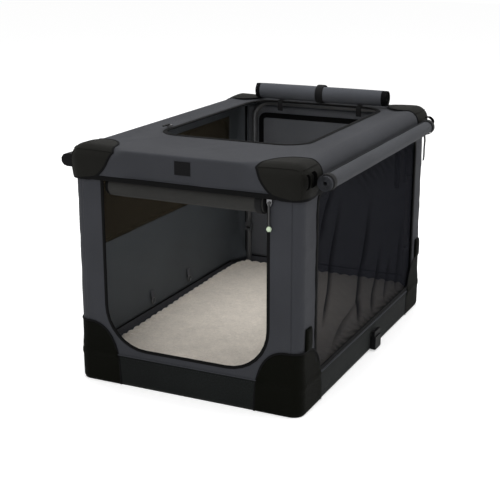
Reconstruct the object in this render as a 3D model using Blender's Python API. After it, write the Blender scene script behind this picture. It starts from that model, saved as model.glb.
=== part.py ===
"""A soft folding dog crate: a folding frame of steel tube inside a sewn cloth cover.

Metres, +Z up, origin on the floor under the middle of the crate. The doorway faces -Y, the mesh
window with its rolled cover faces +X. At each end a hoop hangs from the top on links that stand on
hinged stub legs. When the top comes down, the links and the hoops fold inwards over the mat, and
the cloth walls crumple between the top and the bottom band.
"""
import math

import bmesh
import bpy
import numpy as np
from mathutils import Matrix, Vector

# Overall size over the cloth of the top
LENGTH = 0.640
WIDTH = 0.420
HEIGHT = 0.410
CORNER_R = 0.022

# Cloth, edging and clearances
CLOTH = 0.0016
EDGING = 0.0012
TOUCH = 0.0003
LID_CLEAR = 0.0006
CUT_OVERRUN = 0.004
ARC_STEPS = 5

# Steel tube and leg hinges
TUBE_R = 0.006
TUBE_SIDES = 12
HOOP_BEND_R = 0.035
LINK_INSET = 0.031
LINK_GAP = 0.0015
HINGE_Z = 0.125
PIN_R = 0.0020
PIN_CLEAR = 0.0003
PIN_PROUD = 0.0004
TONGUE_WIDTH = 0.0090
TONGUE_HALF = 0.0055
TONGUE_LENGTH = 0.018
FORK_CHEEK = 0.0022
FORK_BASE = 0.005
FORK_GAP = 0.0015
FRAME_BEND_R = 0.020
RAIL_END_GAP = 0.016

# Floor, mat and bottom band
FLOOR_BOARD = 0.003
MAT_HEIGHT = 0.044
MAT_SIDE_GAP = 0.0015
MAT_END_GAP = 0.004
MAT_CROWN = 0.010
MAT_DRAW_IN = 0.004
MAT_EDGE_R = 0.016
MAT_COLUMNS = 28
MAT_ROWS = 20
BAND_END_HEIGHT = 0.054
BAND_SIDE_HEIGHT = 0.049

# Doorway in the front wall
DOOR_SIDE_POST = 0.062
DOOR_SILL = 0.068
DOOR_HEAD_DROP = 0.045
DOOR_CORNER_R = 0.062
BINDING_WIDTH = 0.0105
BINDING_GAP = 0.0006

# Windows in the side walls, and their nets
WINDOW_FRONT_MARGIN = 0.063
WINDOW_REAR_MARGIN = 0.060
WINDOW_SILL_RIGHT = 0.056
WINDOW_SILL_LEFT = 0.223
WINDOW_HEAD_DROP = 0.044
WINDOW_CORNER_R = 0.026
COVER_LAP = 0.010
NET_LAP = 0.006
NET_THICK = 0.0012
NET_BAR = 0.0040
NET_BORDER = 0.010
NET_GAPS_LONG = 16
NET_GAPS_HIGH_RIGHT = 10
NET_GAPS_HIGH_LEFT = 6

# Opening in the top, and the skirts that hang from the top's edges
TOP_OPENING_SIDE_BAND = 0.072
TOP_OPENING_FRONT_BAND = 0.162
TOP_OPENING_REAR_BAND = 0.058
TOP_OPENING_R = 0.045
SKIRT_HEIGHT = 0.048

# Corner patches and the covers over the leg hinges
CAP_REACH_X = 0.075
CAP_REACH_Y = 0.072
CAP_REACH_Z = 0.053
CAP_ROUND_R = 0.034
PATCH_REACH_FRONT = 0.080
PATCH_REACH_SIDE = 0.088
PATCH_HEIGHT = 0.108
PATCH_POWER_SHARE = 2.6
PATCH_SHARES = (0, 0.22, 0.44, 0.64, 0.80, 0.92, 1.0)
HINGE_COVER_HEIGHT = 0.037
HINGE_COVER_REACH = 0.044

# Rolled covers and their ties
DOOR_ROLL_R = 0.0185
DOOR_ROLL_END_GAP = 0.004
TOP_ROLL_R = 0.0175
TOP_ROLL_OVERHANG = 0.002
TOP_ROLL_INSET = 0.048
SIDE_ROLL_R = 0.0130
SIDE_ROLL_END_GAP = 0.046
SIDE_ROLL_DROP = 0.031
ROLL_TURNS_SHARE = 0.06
ROLL_SIDES = 14
ROLL_STATIONS = 14
TIE_THICK = 0.0014
TIE_WIDTH = 0.015
TIE_END_INSET = 0.012
TIE_TAB_SEAT = 0.0080
TIE_TAB_LAP = 0.012
LOOP_REACH = 0.024
LOOP_HEIGHT = 0.022
LOOP_WIDTH = 0.016
LOOP_DROP = 0.017
LOOP_END_INSET = 0.016
LABEL_WIDTH = 0.028
LABEL_HEIGHT = 0.022
LABEL_X = 0.003
LABEL_DROP = 0.019
LABEL_THICK = 0.0008

# Zip sliders with their pullers
SLIDER_WIDTH = 0.0085
SLIDER_LENGTH = 0.0110
SLIDER_THICK = 0.0036
SLIDER_EDGE_INSET = 0.0055
SLIDER_HEAD_GAP = 0.0075
PULLER_WIDTH = 0.0030
PULLER_THICK = 0.0018
PULLER_LENGTH = 0.039
PULLER_EYE_R = 0.0026
BEAD_R = 0.0043
BEAD_RINGS = 6
BEAD_SIDES = 10
TOP_SLIDER_INSET = 0.220
TOP_PULLER_LENGTH = 0.022
TOP_PULLER_WIDTH = 0.0052

# Side-release buckle of the strap that holds the folded pack
BUCKLE_Y = 0.030
BUCKLE_WIDTH = 0.030
BUCKLE_THICK = 0.0095
BUCKLE_SOCKET_HEIGHT = 0.024
BUCKLE_FLOOR_GAP = 0.003
BUCKLE_WALL = 0.0016
BUCKLE_CLEAR = 0.0004
PRONG_BODY_HEIGHT = 0.010
PRONG_DEPTH = 0.017
PRONG_ARM = 0.0048
WEB_WIDTH = 0.024
WEB_THICK = 0.0015

# How far the top comes down to rest on the folded hoops
FOLD_CLEAR = 0.0012

# Planes and places that follow from these sizes
WALL_INSET = CLOTH + LID_CLEAR + EDGING + TOUCH
WALL_X = WIDTH / 2 - WALL_INSET
WALL_Y = LENGTH / 2 - WALL_INSET
WALL_CORNER_R = CORNER_R - WALL_INSET
FLAT_X = WALL_X - WALL_CORNER_R
FLAT_Y = WALL_Y - WALL_CORNER_R
WALL_TOP = HEIGHT - CORNER_R
LINK_X = WIDTH / 2 - LINK_INSET
DOOR_HALF_WIDTH = WIDTH / 2 - DOOR_SIDE_POST
DOOR_HEAD = HEIGHT - DOOR_HEAD_DROP
WINDOW_HEAD = HEIGHT - WINDOW_HEAD_DROP
TOP_OPENING_HALF_WIDTH = WIDTH / 2 - TOP_OPENING_SIDE_BAND
TOP_ROLL_LENGTH = 2 * (TOP_OPENING_HALF_WIDTH + TOP_ROLL_OVERHANG)
TOP_ROLL_Y = LENGTH / 2 - TOP_ROLL_INSET
TOP_SLIDER_Y = TOP_SLIDER_INSET - LENGTH / 2
PIN_Y = WALL_Y - CLOTH - TOUCH - TUBE_R
NEST_R = CORNER_R - CLOTH - TOUCH - TUBE_R
RAIL_X = WIDTH / 2 - CORNER_R + NEST_R / math.sqrt(2)
RAIL_Z = WALL_TOP + NEST_R / math.sqrt(2)
HOOP_DEPTH = PIN_Y - (LENGTH / 2 - CORNER_R)
HOOP_TOP_Z = WALL_TOP + math.sqrt(NEST_R ** 2 - HOOP_DEPTH ** 2)
FRAME_X = WALL_X - CLOTH - TOUCH - TUBE_R
FRAME_Z = FLOOR_BOARD + TOUCH + TUBE_R
STUB_FOOT_Z = FRAME_Z + TUBE_R + TOUCH
FORK_FLOOR_Z = HINGE_Z - TONGUE_HALF - FORK_GAP
CAP_PROUD = TOUCH + EDGING
HOOP_LEG_X = LINK_X - 2 * TUBE_R - LINK_GAP
KNEE_Z = (HINGE_Z + HOOP_TOP_Z) / 2
FORK_REACH = PIN_Y + TONGUE_HALF - (LENGTH / 2 - CORNER_R)
FOLDED_EDGE_Z = HINGE_Z + TONGUE_HALF - math.sqrt((CORNER_R - CLOTH - FOLD_CLEAR) ** 2 - FORK_REACH ** 2)
LID_DROP = WALL_TOP - FOLDED_EDGE_Z
SLIDER_X = DOOR_HALF_WIDTH + SLIDER_EDGE_INSET
SLIDER_Z = DOOR_HEAD - SLIDER_HEAD_GAP - SLIDER_LENGTH / 2

COLOURS = {
    "shell_cloth": ((0.031, 0.032, 0.036), 0.85, 0.0),
    "band_cloth": ((0.018, 0.021, 0.026), 0.9, 0.0),
    "patch_cloth": ((0.008, 0.009, 0.007), 0.75, 0.0),
    "edging": ((0.006, 0.006, 0.007), 0.7, 0.0),
    "net": ((0.012, 0.012, 0.014), 0.8, 0.0),
    "fleece": ((0.74, 0.66, 0.57), 0.95, 0.0),
    "steel_tube": ((0.045, 0.046, 0.048), 0.4, 0.8),
    "plated_steel": ((0.42, 0.42, 0.43), 0.35, 1.0),
    "black_plastic": ((0.010, 0.010, 0.011), 0.45, 0.0),
    "webbing": ((0.009, 0.009, 0.010), 0.8, 0.0),
    "floor_cloth": ((0.014, 0.014, 0.015), 0.8, 0.0),
    "bead_plastic": ((0.62, 0.70, 0.58), 0.35, 0.0),
}
made_materials = {}


def material(kind):
    """The Principled material of one kind of surface, made once."""
    if kind not in made_materials:
        colour, roughness, metallic = COLOURS[kind]
        new = bpy.data.materials.new(kind)
        new.use_nodes = True
        shader = new.node_tree.nodes["Principled BSDF"]
        shader.inputs["Base Color"].default_value = (*colour, 1.0)
        shader.inputs["Roughness"].default_value = roughness
        shader.inputs["Metallic"].default_value = metallic
        new.diffuse_color = (*colour, 1.0)
        made_materials[kind] = new
    return made_materials[kind]


def place(name, mesh, kind):
    """Links a mesh to the scene as one named part."""
    obj = bpy.data.objects.new(name, mesh)
    mesh.materials.append(material(kind))
    bpy.context.collection.objects.link(obj)
    return obj


def finish(name, bm, kind, smooth=False):
    """Turns a closed bmesh into a part with its faces pointing out."""
    bmesh.ops.recalc_face_normals(bm, faces=bm.faces)
    mesh = bpy.data.meshes.new(name)
    bm.to_mesh(mesh)
    bm.free()
    if smooth:
        mesh.shade_smooth()
        mesh.set_sharp_from_angle(angle=math.radians(40))
    return place(name, mesh, kind)


def face_outwards(bm, centre):
    """Gives a sheet one consistent side, the one that looks away from a point inside the crate."""
    bmesh.ops.recalc_face_normals(bm, faces=bm.faces)
    bm.normal_update()
    away = sum((f.calc_center_median() - centre).dot(f.normal) * f.calc_area() for f in bm.faces)
    if away < 0:
        bmesh.ops.reverse_faces(bm, faces=bm.faces)


def sheet(name, bm, thickness, kind, centre=Vector((0, 0, HEIGHT / 2))):
    """A sheet of cloth: the mesh is its outer face, and the thickness lies inside it."""
    face_outwards(bm, centre)
    mesh = bpy.data.meshes.new(name)
    bm.to_mesh(mesh)
    bm.free()
    obj = place(name, mesh, kind)
    solidify = obj.modifiers.new("thickness", "SOLIDIFY")
    solidify.thickness = thickness
    solidify.offset = -1.0
    solidify.use_even_offset = True
    return obj


def arc(centre, radius, start, end, steps=ARC_STEPS):
    """Points along a round stretch in the plane, from one angle to another in degrees."""
    angles = np.radians(np.linspace(start, end, steps + 1))
    return [(centre[0] + radius * math.cos(a), centre[1] + radius * math.sin(a)) for a in angles]


def add_box(bm, low, high):
    """A box between two corners."""
    size = [b - a for a, b in zip(low, high)]
    middle = [(a + b) / 2 for a, b in zip(low, high)]
    matrix = Matrix.Translation(middle) @ Matrix.Diagonal((*size, 1.0))
    bmesh.ops.create_cube(bm, size=1.0, matrix=matrix)


def box(name, low, high, kind):
    bm = bmesh.new()
    add_box(bm, low, high)
    return finish(name, bm, kind)


def rod(bm, centre, radius, length, axis, sides=16):
    """A round bar about a point, along X, Y or Z."""
    turns = {"x": Matrix.Rotation(math.pi / 2, 4, "Y"),
             "y": Matrix.Rotation(math.pi / 2, 4, "X"),
             "z": Matrix.Identity(4)}
    bmesh.ops.create_cone(bm, cap_ends=True, segments=sides, radius1=radius, radius2=radius,
                          depth=length, matrix=Matrix.Translation(centre) @ turns[axis])


def cut(obj, cutter):
    """Cuts one shape out of another, and keeps the cutter as a hidden guide."""
    cutter.hide_render = True
    cutter.display_type = "WIRE"
    boolean = obj.modifiers.new("cut", "BOOLEAN")
    boolean.operation = "DIFFERENCE"
    boolean.object = cutter


def rounded_path(corners, radius):
    """A path of straight runs whose inner corners are round bends."""
    points = [Vector(corners[0])]
    for before, corner, after in zip(corners, corners[1:], corners[2:]):
        corner = Vector(corner)
        u = (Vector(before) - corner).normalized()
        v = (Vector(after) - corner).normalized()
        half = u.angle(v) / 2
        reach = radius / math.tan(half)
        centre = corner + (u + v).normalized() * (radius / math.sin(half))
        start = corner + u * reach - centre
        end = corner + v * reach - centre
        for share in np.linspace(0, 1, ARC_STEPS + 2):
            points.append(centre + start.slerp(end, share) * radius)
    points.append(Vector(corners[-1]))
    return points


def sweep(bm, path, radius, normal):
    """A round tube along a path that lies in one plane, with closed ends."""
    path = [Vector(p) for p in path]
    normal = Vector(normal)
    rings = []
    for i, at in enumerate(path):
        tangent = (path[min(i + 1, len(path) - 1)] - path[max(i - 1, 0)]).normalized()
        across = tangent.cross(normal)
        turns = [2 * math.pi * k / TUBE_SIDES for k in range(TUBE_SIDES)]
        rings.append([bm.verts.new(at + (normal * math.cos(t) + across * math.sin(t)) * radius) for t in turns])
    for low, high in zip(rings, rings[1:]):
        for k in range(TUBE_SIDES):
            j = (k + 1) % TUBE_SIDES
            bm.faces.new((low[k], low[j], high[j], high[k]))
    bm.faces.new(rings[0])
    bm.faces.new(rings[-1])


def tube(name, path, normal):
    bm = bmesh.new()
    sweep(bm, path, TUBE_R, normal)
    return finish(name, bm, "steel_tube", smooth=True)


def joined(body, extra):
    """Joins one solid to another that it meets, and keeps the second as a hidden guide."""
    extra.hide_render = True
    extra.display_type = "WIRE"
    boolean = body.modifiers.new("join", "BOOLEAN")
    boolean.operation = "UNION"
    boolean.object = extra


# Frame: the bottom ring, the stub legs with their hinge forks, the hoops and the top rails
def bottom_ring():
    """Two side rails that plug into two bent end bars."""
    end_y = PIN_Y - FRAME_BEND_R - RAIL_END_GAP
    for side, word in ((-1, "left"), (1, "right")):
        ends = [(side * FRAME_X, -end_y + TOUCH, FRAME_Z), (side * FRAME_X, end_y - TOUCH, FRAME_Z)]
        tube("base_rail_" + word, ends, (0, 0, 1))
    for end, word in ((-1, "front"), (1, "rear")):
        corners = [(-FRAME_X, end * end_y, FRAME_Z), (-FRAME_X, end * PIN_Y, FRAME_Z),
                   (FRAME_X, end * PIN_Y, FRAME_Z), (FRAME_X, end * end_y, FRAME_Z)]
        tube("base_bar_" + word, rounded_path(corners, FRAME_BEND_R), (0, 0, 1))


def leg(end, side, name):
    """A stub leg on the bottom ring, with a fork at its top that carries the link's hinge."""
    x = side * LINK_X
    y = end * PIN_Y
    inner = TONGUE_WIDTH / 2 + PIN_CLEAR
    outer = inner + FORK_CHEEK
    low = FORK_FLOOR_Z - FORK_BASE
    stub = tube("leg_" + name, [(x, y, STUB_FOOT_Z), (x, y, low + FORK_BASE / 2)], (1, 0, 0))
    bm = bmesh.new()
    profile = [(x - outer, low), (x + outer, low), (x + outer, HINGE_Z + TONGUE_HALF),
               (x + inner, HINGE_Z + TONGUE_HALF), (x + inner, FORK_FLOOR_Z), (x - inner, FORK_FLOOR_Z),
               (x - inner, HINGE_Z + TONGUE_HALF), (x - outer, HINGE_Z + TONGUE_HALF)]
    extrude_profile(bm, [(px, y - TONGUE_HALF, pz) for px, pz in profile], (0, 2 * TONGUE_HALF, 0))
    joined(stub, finish("fork_" + name, bm, "steel_tube"))
    bm = bmesh.new()
    rod(bm, (x, y, HINGE_Z), PIN_R + PIN_CLEAR, 2 * outer + CUT_OVERRUN, "x")
    cut(stub, finish("fork_drill_" + name, bm, "steel_tube"))


def link(end, side, name):
    """The lower half of an upright: a tube on a tongue with its hinge pin, and a rivet at its knee."""
    x = side * LINK_X
    y = end * PIN_Y
    foot = HINGE_Z + TONGUE_LENGTH - FORK_BASE
    body = tube("link_" + name, [(x, y, foot), (x, y, KNEE_Z + TUBE_R)], (1, 0, 0))
    bm = bmesh.new()
    outline = arc((y, HINGE_Z), TONGUE_HALF, 180, 360)
    outline += [(y + TONGUE_HALF, HINGE_Z + TONGUE_LENGTH), (y - TONGUE_HALF, HINGE_Z + TONGUE_LENGTH)]
    extrude_profile(bm, [(x - TONGUE_WIDTH / 2, py, pz) for py, pz in outline], (TONGUE_WIDTH, 0, 0))
    joined(body, finish("tongue_" + name, bm, "steel_tube"))
    bm = bmesh.new()
    half = TONGUE_WIDTH / 2 + PIN_CLEAR + FORK_CHEEK + PIN_PROUD
    rod(bm, (x, y, HINGE_Z), PIN_R, 2 * half, "x")
    reach = TUBE_R + LINK_GAP - TOUCH
    rod(bm, (x - side * reach / 2, y, KNEE_Z), PIN_R, reach, "x")
    joined(body, finish("pins_" + name, bm, "steel_tube"))


def extrude_profile(bm, points, step):
    """A prism: a closed outline carried one step along."""
    first = [bm.verts.new(p) for p in points]
    second = [bm.verts.new([a + b for a, b in zip(p, step)]) for p in points]
    bm.faces.new(first)
    bm.faces.new(second[::-1])
    count = len(points)
    for i in range(count):
        j = (i + 1) % count
        bm.faces.new((first[i], second[i], second[j], first[j]))


def turned(bm, profile, matrix, sides):
    """A solid of revolution about the local Z axis, from (radius, height) pairs on the axis at both ends."""
    rings = []
    for radius, height in profile:
        if radius == 0:
            rings.append([bm.verts.new(matrix @ Vector((0, 0, height)))])
            continue
        angles = [2 * math.pi * i / sides for i in range(sides)]
        rings.append([bm.verts.new(matrix @ Vector((radius * math.cos(a), radius * math.sin(a), height)))
                      for a in angles])
    for low, high in zip(rings, rings[1:]):
        for i in range(sides):
            j = (i + 1) % sides
            if len(low) == 1:
                bm.faces.new((low[0], high[j], high[i]))
            elif len(high) == 1:
                bm.faces.new((low[i], low[j], high[0]))
            else:
                bm.faces.new((low[i], low[j], high[j], high[i]))


def hoop(end, word):
    """The upper half of both uprights at one end: a U of tube whose bar turns in the top's edge."""
    y = end * PIN_Y
    foot = KNEE_Z - TUBE_R
    corners = [(-HOOP_LEG_X, y, foot), (-HOOP_LEG_X, y, HOOP_TOP_Z), (HOOP_LEG_X, y, HOOP_TOP_Z),
               (HOOP_LEG_X, y, foot)]
    tube(word + "_hoop", rounded_path(corners, HOOP_BEND_R), (0, 1, 0))


def top_rails():
    """Straight rails that nest in the rounded side edges of the top."""
    reach = LENGTH / 2 - CORNER_R
    for side, word in ((-1, "left"), (1, "right")):
        tube("top_rail_" + word, [(side * RAIL_X, -reach, RAIL_Z), (side * RAIL_X, reach, RAIL_Z)], (0, 0, 1))


# Cloth panels
def rounded_rectangle(low, high, radius, steps=ARC_STEPS):
    """Outline of a rectangle with round corners, anticlockwise, and the centre and angle of each arc point."""
    points = []
    for (sx, sy), start in (((1, 1), 0), ((-1, 1), 90), ((-1, -1), 180), ((1, -1), 270)):
        centre = ((high[0] if sx > 0 else low[0]) - sx * radius, (high[1] if sy > 0 else low[1]) - sy * radius)
        for angle in np.linspace(start, start + 90, steps + 1):
            points.append((centre, math.radians(angle), radius))
    return points


def panel_rings(low, high, hole_low, hole_high, radius):
    """Matching points round a rectangle and round the rounded hole in it."""
    outer, inner = [], []
    previous = None
    for centre, angle, r in rounded_rectangle(hole_low, hole_high, radius):
        corner = (high[0] if math.cos(angle + 1e-9) > 0 else low[0],
                  high[1] if math.sin(angle + 1e-9) > 0 else low[1])
        to_corner = math.atan2(corner[1] - centre[1], corner[0] - centre[0]) % (2 * math.pi)
        if previous is not None and previous[0] == centre and previous[1] < to_corner < angle:
            outer.append(corner)
            inner.append((centre[0] + r * math.cos(to_corner), centre[1] + r * math.sin(to_corner)))
        outer.append(edge_point(centre, angle, low, high))
        inner.append((centre[0] + r * math.cos(angle), centre[1] + r * math.sin(angle)))
        previous = (centre, angle)
    return outer, inner


def edge_point(centre, angle, low, high):
    """Where a ray from a point inside a rectangle meets its edge."""
    dx, dy = math.cos(angle), math.sin(angle)
    reach = []
    if abs(dx) > 1e-6:
        reach.append(((high[0] if dx > 0 else low[0]) - centre[0]) / dx)
    if abs(dy) > 1e-6:
        reach.append(((high[1] if dy > 0 else low[1]) - centre[1]) / dy)
    return (centre[0] + dx * min(reach), centre[1] + dy * min(reach))


def side_place(side, u, v):
    """Bends the developed side panel round the crate's corners: u runs along Y and past the corners."""
    sign = 1 if u > 0 else -1
    bend = max(0.0, abs(u) - FLAT_Y)
    turn = min(bend / WALL_CORNER_R, math.pi / 2)
    y = min(abs(u), FLAT_Y) + WALL_CORNER_R * math.sin(turn)
    x = FLAT_X + WALL_CORNER_R * math.cos(turn)
    return Vector((side * x, sign * y, v))


def folded_sheet(place_at, low, high, tails, hole=None, radius=0.0):
    """The outer face of a sheet that is flat between two corners and carries on past both sides, bent by
    its mapping. It can have a rounded hole in its flat part."""
    bm = bmesh.new()
    verts = {}

    def vert(u, v):
        key = (round(u, 6), round(v, 6))
        if key not in verts:
            verts[key] = bm.verts.new(place_at(u, v))
        return verts[key]

    if hole is None:
        outer = [low, (high[0], low[1]), high, (low[0], high[1])]
        bm.faces.new([vert(*p) for p in outer])
    else:
        outer, inner = panel_rings(low, high, *hole, radius)
        for i in range(len(outer)):
            j = (i + 1) % len(outer)
            bm.faces.new([vert(*p) for p in (outer[i], outer[j], inner[j], inner[i])])
    for sign, edge in ((-1, low[0]), (1, high[0])):
        heights = sorted({round(v, 6) for u, v in outer if abs(u - edge) < TOUCH})
        columns = [edge] + [edge + sign * tail for tail in tails]
        for near, far in zip(columns, columns[1:]):
            for below, above in zip(heights, heights[1:]):
                bm.faces.new([vert(near, below), vert(far, below), vert(far, above), vert(near, above)])
    return bm


def side_walls():
    """The two side walls, each with a window and two leg hinge covers, over the bottom bands. Both go
    round their corners."""
    quarter = WALL_CORNER_R * math.pi / 2 - TOUCH
    tails = [quarter * share for share in np.linspace(0, 1, ARC_STEPS + 1)[1:]]
    for side, word, sill in ((-1, "left", WINDOW_SILL_LEFT), (1, "right", WINDOW_SILL_RIGHT)):
        def place_at(u, v):
            return side_place(side, u, v)
        bm = folded_sheet(place_at, (-FLAT_Y, 0), (FLAT_Y, BAND_SIDE_HEIGHT), tails)
        sheet("base_band_" + word, bm, CLOTH, "band_cloth")
        hole = ((-WALL_Y + WINDOW_FRONT_MARGIN, sill), (WALL_Y - WINDOW_REAR_MARGIN, WINDOW_HEAD))
        bm = folded_sheet(place_at, (-FLAT_Y, BAND_SIDE_HEIGHT + TOUCH), (FLAT_Y, WALL_TOP), tails, hole,
                          WINDOW_CORNER_R)
        wall = sheet("side_wall_" + word, bm, CLOTH, "shell_cloth")
        bm = bmesh.new()
        low = PATCH_HEIGHT + TOUCH
        for end in (-1, 1):
            across = sorted((side * (WALL_X - CLOTH / 2), side * (WALL_X + CAP_PROUD)))
            along = sorted((end * (FLAT_Y - TOUCH), end * (FLAT_Y + WALL_CORNER_R - HINGE_COVER_REACH)))
            add_box(bm, (across[0], along[0], low), (across[1], along[1], low + HINGE_COVER_HEIGHT))
        joined(wall, finish("hinge_covers_" + word, bm, "patch_cloth"))


def flat_sheet(name, loops, to_world, thickness, kind, centre=Vector((0, 0, HEIGHT / 2))):
    """A flat sheet inside its first outline and outside the others."""
    bm = bmesh.new()
    edges = []
    for loop in loops:
        verts = [bm.verts.new(to_world(*p)) for p in loop]
        edges += [bm.edges.new((a, b)) for a, b in zip(verts, verts[1:] + verts[:1])]
    bmesh.ops.triangle_fill(bm, edges=edges, use_beauty=True)
    return sheet(name, bm, thickness, kind, centre)


def end_walls():
    """Front and rear walls over their bottom bands. The front has the doorway, with a binding on it."""
    half = FLAT_X - TOUCH
    low = BAND_END_HEIGHT + TOUCH
    for end, word in ((-1, "front"), (1, "rear")):
        def to_world(u, v):
            return (u, end * WALL_Y, v)
        band = [(-half, 0), (half, 0), (half, BAND_END_HEIGHT), (-half, BAND_END_HEIGHT)]
        flat_sheet("base_band_" + word, [band], to_world, CLOTH, "band_cloth")
        loops = [[(-half, low), (half, low), (half, WALL_TOP), (-half, WALL_TOP)]]
        if end < 0:
            right = arc((DOOR_HALF_WIDTH - DOOR_CORNER_R, DOOR_SILL + DOOR_CORNER_R), DOOR_CORNER_R, 0, -90)
            left = [(-u, v) for u, v in right[::-1]]
            loops.append([(DOOR_HALF_WIDTH, DOOR_HEAD)] + right + left + [(-DOOR_HALF_WIDTH, DOOR_HEAD)])
        flat_sheet(word + "_wall", loops, to_world, CLOTH, "shell_cloth")
    inner = DOOR_HALF_WIDTH + BINDING_GAP
    outer = inner + BINDING_WIDTH
    foot = DOOR_SILL + DOOR_CORNER_R
    head = DOOR_HEAD + BINDING_GAP
    outline = [(inner, foot), (outer, foot), (outer, head + BINDING_WIDTH), (-outer, head + BINDING_WIDTH),
               (-outer, foot), (-inner, foot), (-inner, head), (inner, head)]
    flat_sheet("doorway_binding", [outline], lambda u, v: (u, -WALL_Y - CAP_PROUD, v), EDGING, "edging")


def net(name, side, sill, gaps_high):
    """A flat net behind a window: square gaps between crossing bars."""
    front, rear = -WALL_Y + WINDOW_FRONT_MARGIN - NET_LAP, WALL_Y - WINDOW_REAR_MARGIN + NET_LAP
    bottom, top = sill - NET_LAP, WINDOW_HEAD + NET_LAP
    loops = [[(front, bottom), (rear, bottom), (rear, top), (front, top)]]
    pitch_long = (rear - front - 2 * NET_BORDER + NET_BAR) / NET_GAPS_LONG
    pitch_high = (top - bottom - 2 * NET_BORDER + NET_BAR) / gaps_high
    for i in range(NET_GAPS_LONG):
        for j in range(gaps_high):
            u0, v0 = front + NET_BORDER + i * pitch_long, bottom + NET_BORDER + j * pitch_high
            u1, v1 = u0 + pitch_long - NET_BAR, v0 + pitch_high - NET_BAR
            loops.append([(u0, v0), (u1, v0), (u1, v1), (u0, v1)])
    plane = WALL_X - CLOTH - TOUCH
    flat_sheet(name, loops, lambda u, v: (side * plane, u, v), NET_THICK, "net")


def left_cover():
    """The cover of the left window, zipped shut outside it."""
    low = (-WALL_Y + WINDOW_FRONT_MARGIN - COVER_LAP, WINDOW_SILL_LEFT - COVER_LAP)
    high = (WALL_Y - WINDOW_REAR_MARGIN + COVER_LAP, WINDOW_HEAD + COVER_LAP)
    outline = [(c[0] + r * math.cos(a), c[1] + r * math.sin(a))
               for c, a, r in rounded_rectangle(low, high, WINDOW_CORNER_R + COVER_LAP)]
    flat_sheet("window_cover_left", [outline], lambda u, v: (-WALL_X - TOUCH - EDGING, u, v), EDGING, "shell_cloth")


def top_place(u, v):
    """Bends the developed top round the crate's long upper edges: u runs along X and past the edges."""
    flat = WIDTH / 2 - CORNER_R
    bend = max(0.0, abs(u) - flat)
    turn = min(bend / CORNER_R, math.pi / 2)
    x = min(abs(u), flat) + CORNER_R * math.sin(turn)
    z = WALL_TOP + CORNER_R * math.cos(turn) - max(0.0, bend - CORNER_R * math.pi / 2)
    return Vector((math.copysign(x, u), v, z))


def top_cloth():
    """The top panel with its opening, in one piece with its side skirts, and the fascias at both ends."""
    half_x = WIDTH / 2 - CORNER_R
    half_y = LENGTH / 2 - CORNER_R - TOUCH
    hole = ((-TOP_OPENING_HALF_WIDTH, -LENGTH / 2 + TOP_OPENING_FRONT_BAND),
            (TOP_OPENING_HALF_WIDTH, LENGTH / 2 - TOP_OPENING_REAR_BAND))
    tails = [CORNER_R * math.pi / 2 * share for share in np.linspace(0, 1, ARC_STEPS + 1)[1:]]
    tails.append(tails[-1] + SKIRT_HEIGHT - CORNER_R)
    bm = folded_sheet(top_place, (-half_x, -half_y), (half_x, half_y), tails, hole, TOP_OPENING_R)
    sheet("top_panel", bm, CLOTH, "shell_cloth")
    profile = arc((LENGTH / 2 - CORNER_R, WALL_TOP), CORNER_R, 90, 0) + [(LENGTH / 2, HEIGHT - SKIRT_HEIGHT)]
    for end, word in ((-1, "front"), (1, "rear")):
        bm = bmesh.new()
        rows = [[bm.verts.new((x, end * y, z)) for y, z in profile] for x in (-half_x + TOUCH, half_x - TOUCH)]
        for i in range(len(profile) - 1):
            bm.faces.new((rows[0][i], rows[1][i], rows[1][i + 1], rows[0][i + 1]))
        sheet("fascia_" + word, bm, CLOTH, "shell_cloth")


def corner_cap(name, sx, sy):
    """The patch on an upper corner: top, end and side faces that share the rounded corner."""
    tip = Vector((sx * (WIDTH / 2 + CAP_PROUD), sy * (LENGTH / 2 + CAP_PROUD), HEIGHT + CAP_PROUD))
    along_x, along_y, down = Vector((-sx, 0, 0)), Vector((0, -sy, 0)), Vector((0, 0, -1))
    bm = bmesh.new()
    shared = {}

    def vert(at):
        key = tuple(round(c, 6) for c in at)
        if key not in shared:
            shared[key] = bm.verts.new(at)
        return shared[key]

    for first, first_reach, second, second_reach in ((along_x, CAP_REACH_X, along_y, CAP_REACH_Y),
                                                     (along_x, CAP_REACH_X, down, CAP_REACH_Z),
                                                     (along_y, CAP_REACH_Y, down, CAP_REACH_Z)):
        far = arc((first_reach - CAP_ROUND_R, second_reach - CAP_ROUND_R), CAP_ROUND_R, 0, 90)
        outline = [(0, 0), (first_reach, 0)] + far + [(0, second_reach)]
        bm.faces.new([vert(tip + first * a + second * b) for a, b in outline])
    corner = vert(tip)
    round_r = CORNER_R + CAP_PROUD
    face_outwards(bm, Vector((0, 0, HEIGHT / 2)))
    bmesh.ops.bevel(bm, geom=[corner] + list(corner.link_edges), offset=round_r, segments=ARC_STEPS, profile=0.5,
                    affect="EDGES", clamp_overlap=False)
    sheet(name, bm, EDGING, "patch_cloth")


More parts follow.
